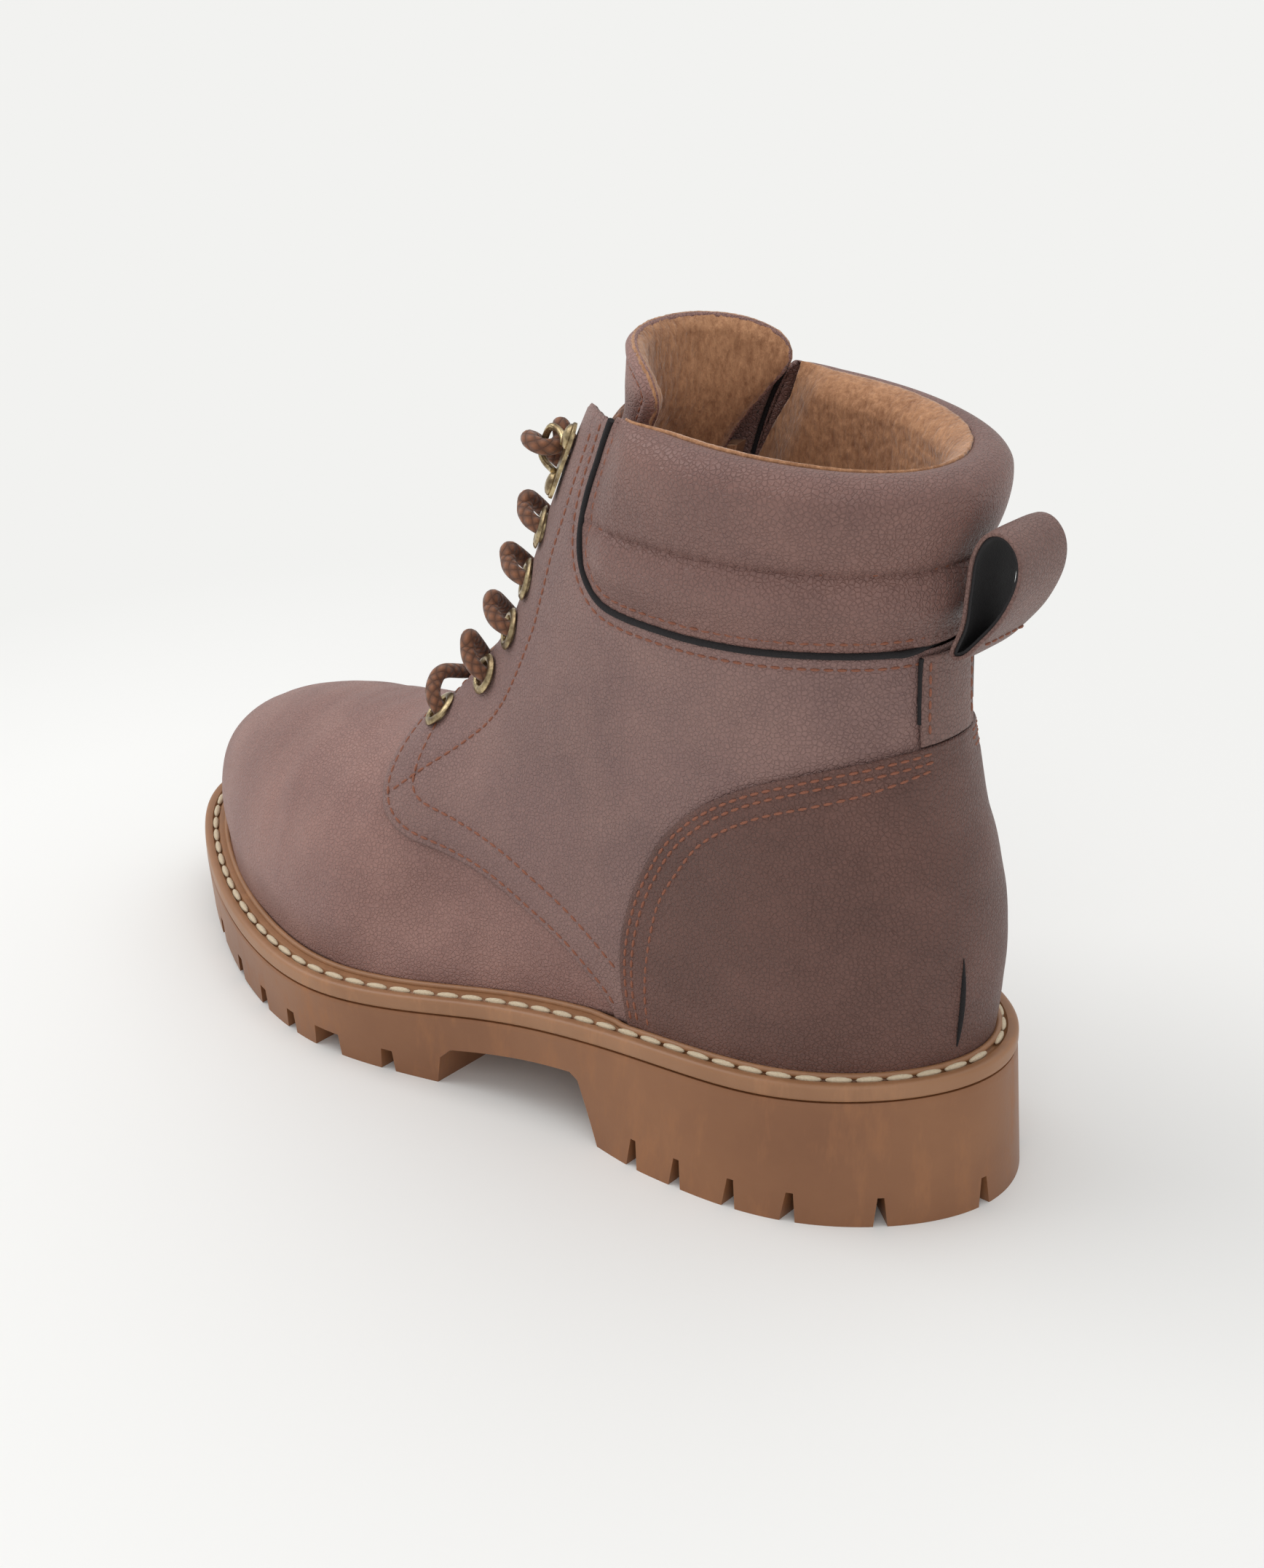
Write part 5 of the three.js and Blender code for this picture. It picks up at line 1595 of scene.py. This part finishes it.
@dataclass(frozen=True)
class Rubber:
    """Tan rubber: a little waxy, with lighter scuffed and dusty streaks scattered by noise."""

    name: str
    high: Colour
    low: Colour
    glow: float = 0.08

    def build(self) -> bpy.types.Material:
        """Makes the material."""
        s = Shader(self.name)
        cloud = s.ramp(s.noise(16, 5, 0.6), (0.3, 0.0), (0.7, 1.0))
        scuff = s.ramp(s.noise(120, 4, 0.7, s.at((1, 1, 0.3))), (0.52, 0.0), (0.74, 1.0))
        base = s.mix(cloud, linear(self.low), linear(self.high))
        base = s.mix(scuff * 0.35, base, linear(tuple(min(255, c * 1.22) for c in self.high)))
        height = s.noise(900, 3, 0.6) * 0.5 + s.noise(90, 3) * 0.6
        return s.done(base, 0.44 + scuff * 0.2, height, 0.0002, 0.4, Subsurface_Weight=self.glow,
                      Subsurface_Radius=(0.004, 0.0022, 0.001), Subsurface_Scale=0.6)


@dataclass(frozen=True)
class Pile:
    """Brushed pile lining: soft tufts, lit on top with painted shade between them."""

    name: str
    lit: Colour
    painted_shade: Colour

    def build(self) -> bpy.types.Material:
        """Makes the material."""
        s = Shader(self.name)
        combed = s.at((1.0, 1.0, 0.4), turn=(0.5, 0.2, 0.0))
        tuft = s.noise(760, 4, 0.65, combed)
        clump = s.ramp(s.noise(90, 4, 0.6, combed), (0.3, 0.0), (0.7, 1.0))
        # Painted light: the tuft and clump mask runs from painted shade between the tufts to the lit colour
        # on them.
        lit = s.ramp(tuft, (0.3, 0.0), (0.68, 1.0)) * 0.6 + clump * 0.4
        base = s.mix(lit, linear(self.painted_shade), linear(self.lit))
        return s.done(base, 0.95, tuft + clump * 0.5, 0.0009, 0.7, Sheen_Weight=0.4,
                      Sheen_Roughness=0.4, Specular_IOR_Level=0.1)


@dataclass(frozen=True)
class Braid:
    """Round braided cord, its plaits following the cord."""

    name: str
    yarn: Colour
    shade: Colour
    across: float = 4.0
    along: float = 3.2

    def build(self) -> bpy.types.Material:
        """Makes the material."""
        s = Shader(self.name)
        ways = []
        for lean in (1.0, -1.0):
            split = s.node("SeparateXYZ", None, Vector=s.uv)
            u, v = (Sock(s.tree, split.outputs[i]) for i in (0, 1))
            ways.append((u * self.across + v * (self.along * lean)).math("PINGPONG", 0.5) * 2)
        plait = (ways[0] * ways[1]).math("POWER", 0.6)
        fibre = s.noise(2200, 2)
        base = s.mix(plait * 0.8 + fibre * 0.2, linear(self.shade), linear(self.yarn))
        return s.done(base, 0.78, plait + fibre * 0.25, 0.0005, 0.8, Sheen_Weight=0.2)


@dataclass(frozen=True)
class Metal:
    """Antiqued brass: dull and brown, with bright rubbed patches scattered by noise."""

    name: str
    bright: Colour
    aged: Colour

    def build(self) -> bpy.types.Material:
        """Makes the material."""
        s = Shader(self.name)
        age = s.ramp(s.noise(260, 5, 0.65), (0.38, 0.0), (0.66, 1.0))
        base = s.mix(age, linear(self.aged), linear(self.bright))
        return s.done(base, 0.36 - age * 0.12, s.noise(900, 3), 0.0001, 0.3, Metallic=0.92)


@dataclass(frozen=True)
class Cloth:
    """A plain woven, felted or pressed material."""

    name: str
    colour: Colour
    shade: Colour
    weave: float = 1400
    rough: float = 0.85

    def build(self) -> bpy.types.Material:
        """Makes the material."""
        s = Shader(self.name)
        fine = s.noise(self.weave, 2, 0.6, s.at((1, 1, 1.6)))
        base = s.mix(fine, linear(self.shade), linear(self.colour))
        return s.done(base, self.rough, fine, 0.0003, 0.6)


class Finish(Enum):
    """The boot's finishes, each with its record slot."""

    VAMP = ("vamp_leather", Nubuck("nubuck_vamp", (144, 108, 101), (110, 77, 70), (172, 132, 121)))
    QUARTER = ("quarter_leather", Nubuck("nubuck_quarter", (134, 103, 98), (100, 74, 70), (158, 124, 114)))
    COUNTER = ("counter_leather", Nubuck("nubuck_counter", (99, 66, 57), (72, 44, 37), (128, 90, 80)))
    STRAP = ("counter_leather", Nubuck("nubuck_strap", (124, 93, 86), (92, 66, 60), (150, 116, 106)))
    COLLAR = ("collar_leather", Nubuck("nubuck_collar", (128, 94, 87), (94, 66, 60), (154, 115, 104), 0.56))
    OUTSOLE = ("outsole_rubber", Rubber("rubber_outsole", (143, 97, 63), (124, 80, 50)))
    WELT = ("welt_rubber", Rubber("rubber_welt", (158, 115, 82), (138, 96, 64)))
    CORD = ("welt_thread", Cloth("cord_welt", (226, 212, 186), (186, 166, 136), 1600))
    SEWING = ("welt_thread", Cloth("thread_rust", (160, 98, 72), (108, 62, 44), 2400, 0.6))
    # The pile's second colour is painted shade between its tufts.
    PILE = ("pile_lining", Pile("pile_tan", (206, 156, 118), (132, 90, 64)))
    PIPING = ("piping", Cloth("piping_black", (38, 34, 36), (10, 9, 10), 1500, 0.9))
    WEBBING = ("piping", Cloth("webbing_black", (40, 37, 39), (16, 15, 16), 1800, 0.8))
    LACE = ("lace_cord", Braid("lace_brown", (150, 98, 68), (70, 42, 28)))
    BRASS = ("antique_brass", Metal("brass_aged", (204, 184, 142), (112, 94, 70)))
    BOARD = ("fibre_board", Cloth("board_brown", (104, 78, 62), (78, 56, 44), 900, 0.9))
    STEEL = ("steel", Metal("steel_plain", (190, 190, 194), (150, 150, 154)))
    BATTING = ("insulation", Cloth("batting_tan", (150, 112, 86), (112, 80, 60), 800, 0.95))
    SHEET = ("stiffener", Cloth("sheet_tan", (158, 136, 112), (134, 112, 90), 600, 0.6))
    TIP = ("aglet", Cloth("tip_dark", (44, 36, 31), (30, 25, 22), 900, 0.4))


class Wardrobe:
    """Builds each finish once and dresses pieces in it."""

    def __init__(self) -> None:
        """Starts with no materials."""
        self.made: dict[Finish, bpy.types.Material] = {}

    def dress(self, piece: bpy.types.Object, finish: Finish) -> None:
        """Gives a piece one finish."""
        if finish not in self.made:
            self.made[finish] = finish.value[1].build()
        piece.data.materials.clear()
        piece.data.materials.append(self.made[finish])

    def place(self, piece: bpy.types.Object, finish: Finish, body: str, *nodes: str) -> bpy.types.Object:
        """Dresses a new piece, rides it on its body and hides the nodes it stands for."""
        self.dress(piece, finish)
        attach(piece, body)
        if nodes:
            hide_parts(*nodes)
        LOG.info("%s rides on %s, %d faces", piece.name, body, len(piece.data.polygons))
        return piece


# ---------------------------------------------------------------- the studio
@dataclass
class Studio:
    """Camera, floor and soft lights."""

    turn: float = 130.0
    rise: float = 24.5
    away: float = 695.0
    aim: tuple[float, float, float] = (-3.0, -108.0, 60.0)
    shift: tuple[float, float] = (23.0, 16.0)
    lens: float = 53.48

    def axes(self) -> tuple[Vector, Vector, Vector]:
        """The view's right, up and backward directions."""
        a, e = math.radians(self.turn), math.radians(self.rise)
        back = Vector((math.sin(a) * math.cos(e), -math.cos(a) * math.cos(e), math.sin(e)))
        right = Vector((0, 0, 1)).cross(back).normalized()
        return right, back.cross(right), back

    def camera(self) -> None:
        """Sets the camera."""
        right, up, back = self.axes()
        data = bpy.data.cameras.new("camera")
        data.lens, data.sensor_width, data.clip_start, data.clip_end = self.lens, 36, 0.01, 20
        camera = bpy.data.objects.new("camera", data)
        place = (Vector(self.aim) + right * self.shift[0] + up * self.shift[1] + back * self.away) * MM
        camera.matrix_world = Matrix.Translation(place) @ Matrix((right, up, back)).transposed().to_4x4()
        bpy.context.scene.collection.objects.link(camera)
        bpy.context.scene.camera = camera

    def floor(self) -> None:
        """Lays the pale floor."""
        bm = bmesh.new()
        bmesh.ops.create_grid(bm, x_segments=2, y_segments=2, size=6)
        floor = to_object("floor", bm, 1)
        s = Shader("floor_pale")
        split = s.node("SeparateXYZ", None, Vector=s.object)
        x, y = (Sock(s.tree, split.outputs[i]) for i in (0, 1))
        reach = (x * x + (y + 0.11) * (y + 0.11)).math("POWER", 0.5)
        glow = s.node("Emission", None, Color=linear((242, 242, 240)))
        far = s.ramp(reach, (0.26, 0.0), (0.44, 1.0))
        both = s.node("MixShader", None, Fac=far)
        s.tree.links.new(s.surface.outputs[0], both.inputs[1])
        s.tree.links.new(glow.outputs[0], both.inputs[2])
        s.tree.links.new(both.outputs[0], s.tree.nodes["Material Output"].inputs["Surface"])
        floor.data.materials.append(s.done(linear((239, 239, 237)), 0.75))

    def lamp(self, name: str, place: Colour, size: float, power: float) -> None:
        """Hangs a square area light aimed at the boot."""
        data = bpy.data.lights.new(name, "AREA")
        data.energy, data.size = power, size
        lamp = bpy.data.objects.new(name, data)
        away = Vector(place) - Vector((0, -0.1, 0.08))
        lamp.matrix_world = Matrix.Translation(place) @ away.to_track_quat("Z", "Y").to_matrix().to_4x4()
        bpy.context.scene.collection.objects.link(lamp)

    def build(self) -> None:
        """Sets everything up."""
        self.camera()
        self.floor()
        self.lamp("key", (0.5, -1.1, 1.5), 1.3, 12.5)
        self.lamp("rear", (1.3, 0.9, 1.1), 1.2, 5.2)
        self.lamp("top", (-0.5, 0.1, 1.8), 1.6, 6.6)
        world = bpy.data.worlds.new("soft")
        world.use_nodes = True
        world.node_tree.nodes["Background"].inputs[0].default_value = (1, 1, 1, 1)
        world.node_tree.nodes["Background"].inputs[1].default_value = 0.64
        bpy.context.scene.world = world
        bpy.context.scene.view_settings.view_transform = "Standard"


# ---------------------------------------------------------------- assembly
INSIDE = {
    Finish.BOARD: ("sole_filler", "insole_board"),
    Finish.STEEL: ("shank",),
    Finish.PILE: ("footbed", "lining_front", "lining_lateral", "lining_medial"),
    Finish.SHEET: ("toe_puff", "heel_stiffener"),
    Finish.BATTING: ("padding_front", "padding_lateral", "padding_medial"),
    Finish.TIP: ("aglet_lateral", "aglet_medial"),
}
SIDES = ("lateral", "medial")


def main() -> None:
    """Builds the boot in order and reports each piece."""
    logging.basicConfig(level=logging.INFO)
    Studio().build()
    hang = Wardrobe()
    for finish, names in INSIDE.items():
        for name in names:
            hang.dress(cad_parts[name], finish)
    sole = Sole()
    hang.place(sole.outsole(), Finish.OUTSOLE, "boot", "outsole")
    hang.place(sole.welt(), Finish.WELT, "boot", "welt")
    hang.place(sole.bead(), Finish.WELT, "boot")
    hang.place(sole.cord(), Finish.CORD, "boot", "welt_thread")
    upper = Upper()
    hang.place(upper.vamp(), Finish.VAMP, "boot", "vamp")
    hang.place(upper.quarter(1), Finish.QUARTER, "boot", "quarter_lateral", "facing_lateral")
    hang.place(upper.quarter(-1), Finish.QUARTER, "boot", "quarter_medial", "facing_medial")
    hang.place(upper.counter(), Finish.COUNTER, "boot", "heel_counter")
    hang.place(upper.backstay(), Finish.STRAP, "boot", "backstay")
    hang.place(upper.dart(), Finish.PIPING, "boot")
    hang.place(upper.binding(), Finish.PIPING, "boot")
    collar = Collar()
    cover = hang.place(collar.cover(), Finish.COLLAR, "boot", "collar_cover", "collar_foam_lower",
                       "collar_foam_upper")
    hang.place(collar.pile(), Finish.PILE, "boot", "collar_lining")
    hang.place(collar.piping(), Finish.PIPING, "boot", "collar_piping")
    leather, webbing, threads = collar.tab()
    hang.place(leather, Finish.STRAP, "tab", "pull_tab")
    hang.place(webbing, Finish.WEBBING, "tab")
    hang.place(threads, Finish.SEWING, "tab")
    tongue = Tongue()
    front = hang.place(tongue.leather(), Finish.VAMP, "tongue", "tongue", "tongue_foam")
    hang.place(tongue.pile(), Finish.PILE, "tongue", "tongue_lining")
    hang.place(Stitching().build("tongue_stitches", tongue.rows()), Finish.SEWING, "tongue")
    hang.place(Stitching().build("upper_stitches", upper.rows() + collar.rows()), Finish.SEWING, "boot")
    lacing = Lacing()
    hang.place(lacing.eyelets(), Finish.BRASS, "boot",
               *(f"eyelet_{side}_{k}" for side in SIDES for k in range(1, 6)))
    hang.place(lacing.hooks(), Finish.BRASS, "boot",
               *(f"hook_{part}" for side in SIDES
                 for part in (f"plate_{side}", f"bar_{side}", f"rivet_{side}_lower", f"rivet_{side}_upper")))
    hang.place(lacing.lace(), Finish.LACE, "boot", "lace")


if __name__ == "__main__":
    main()
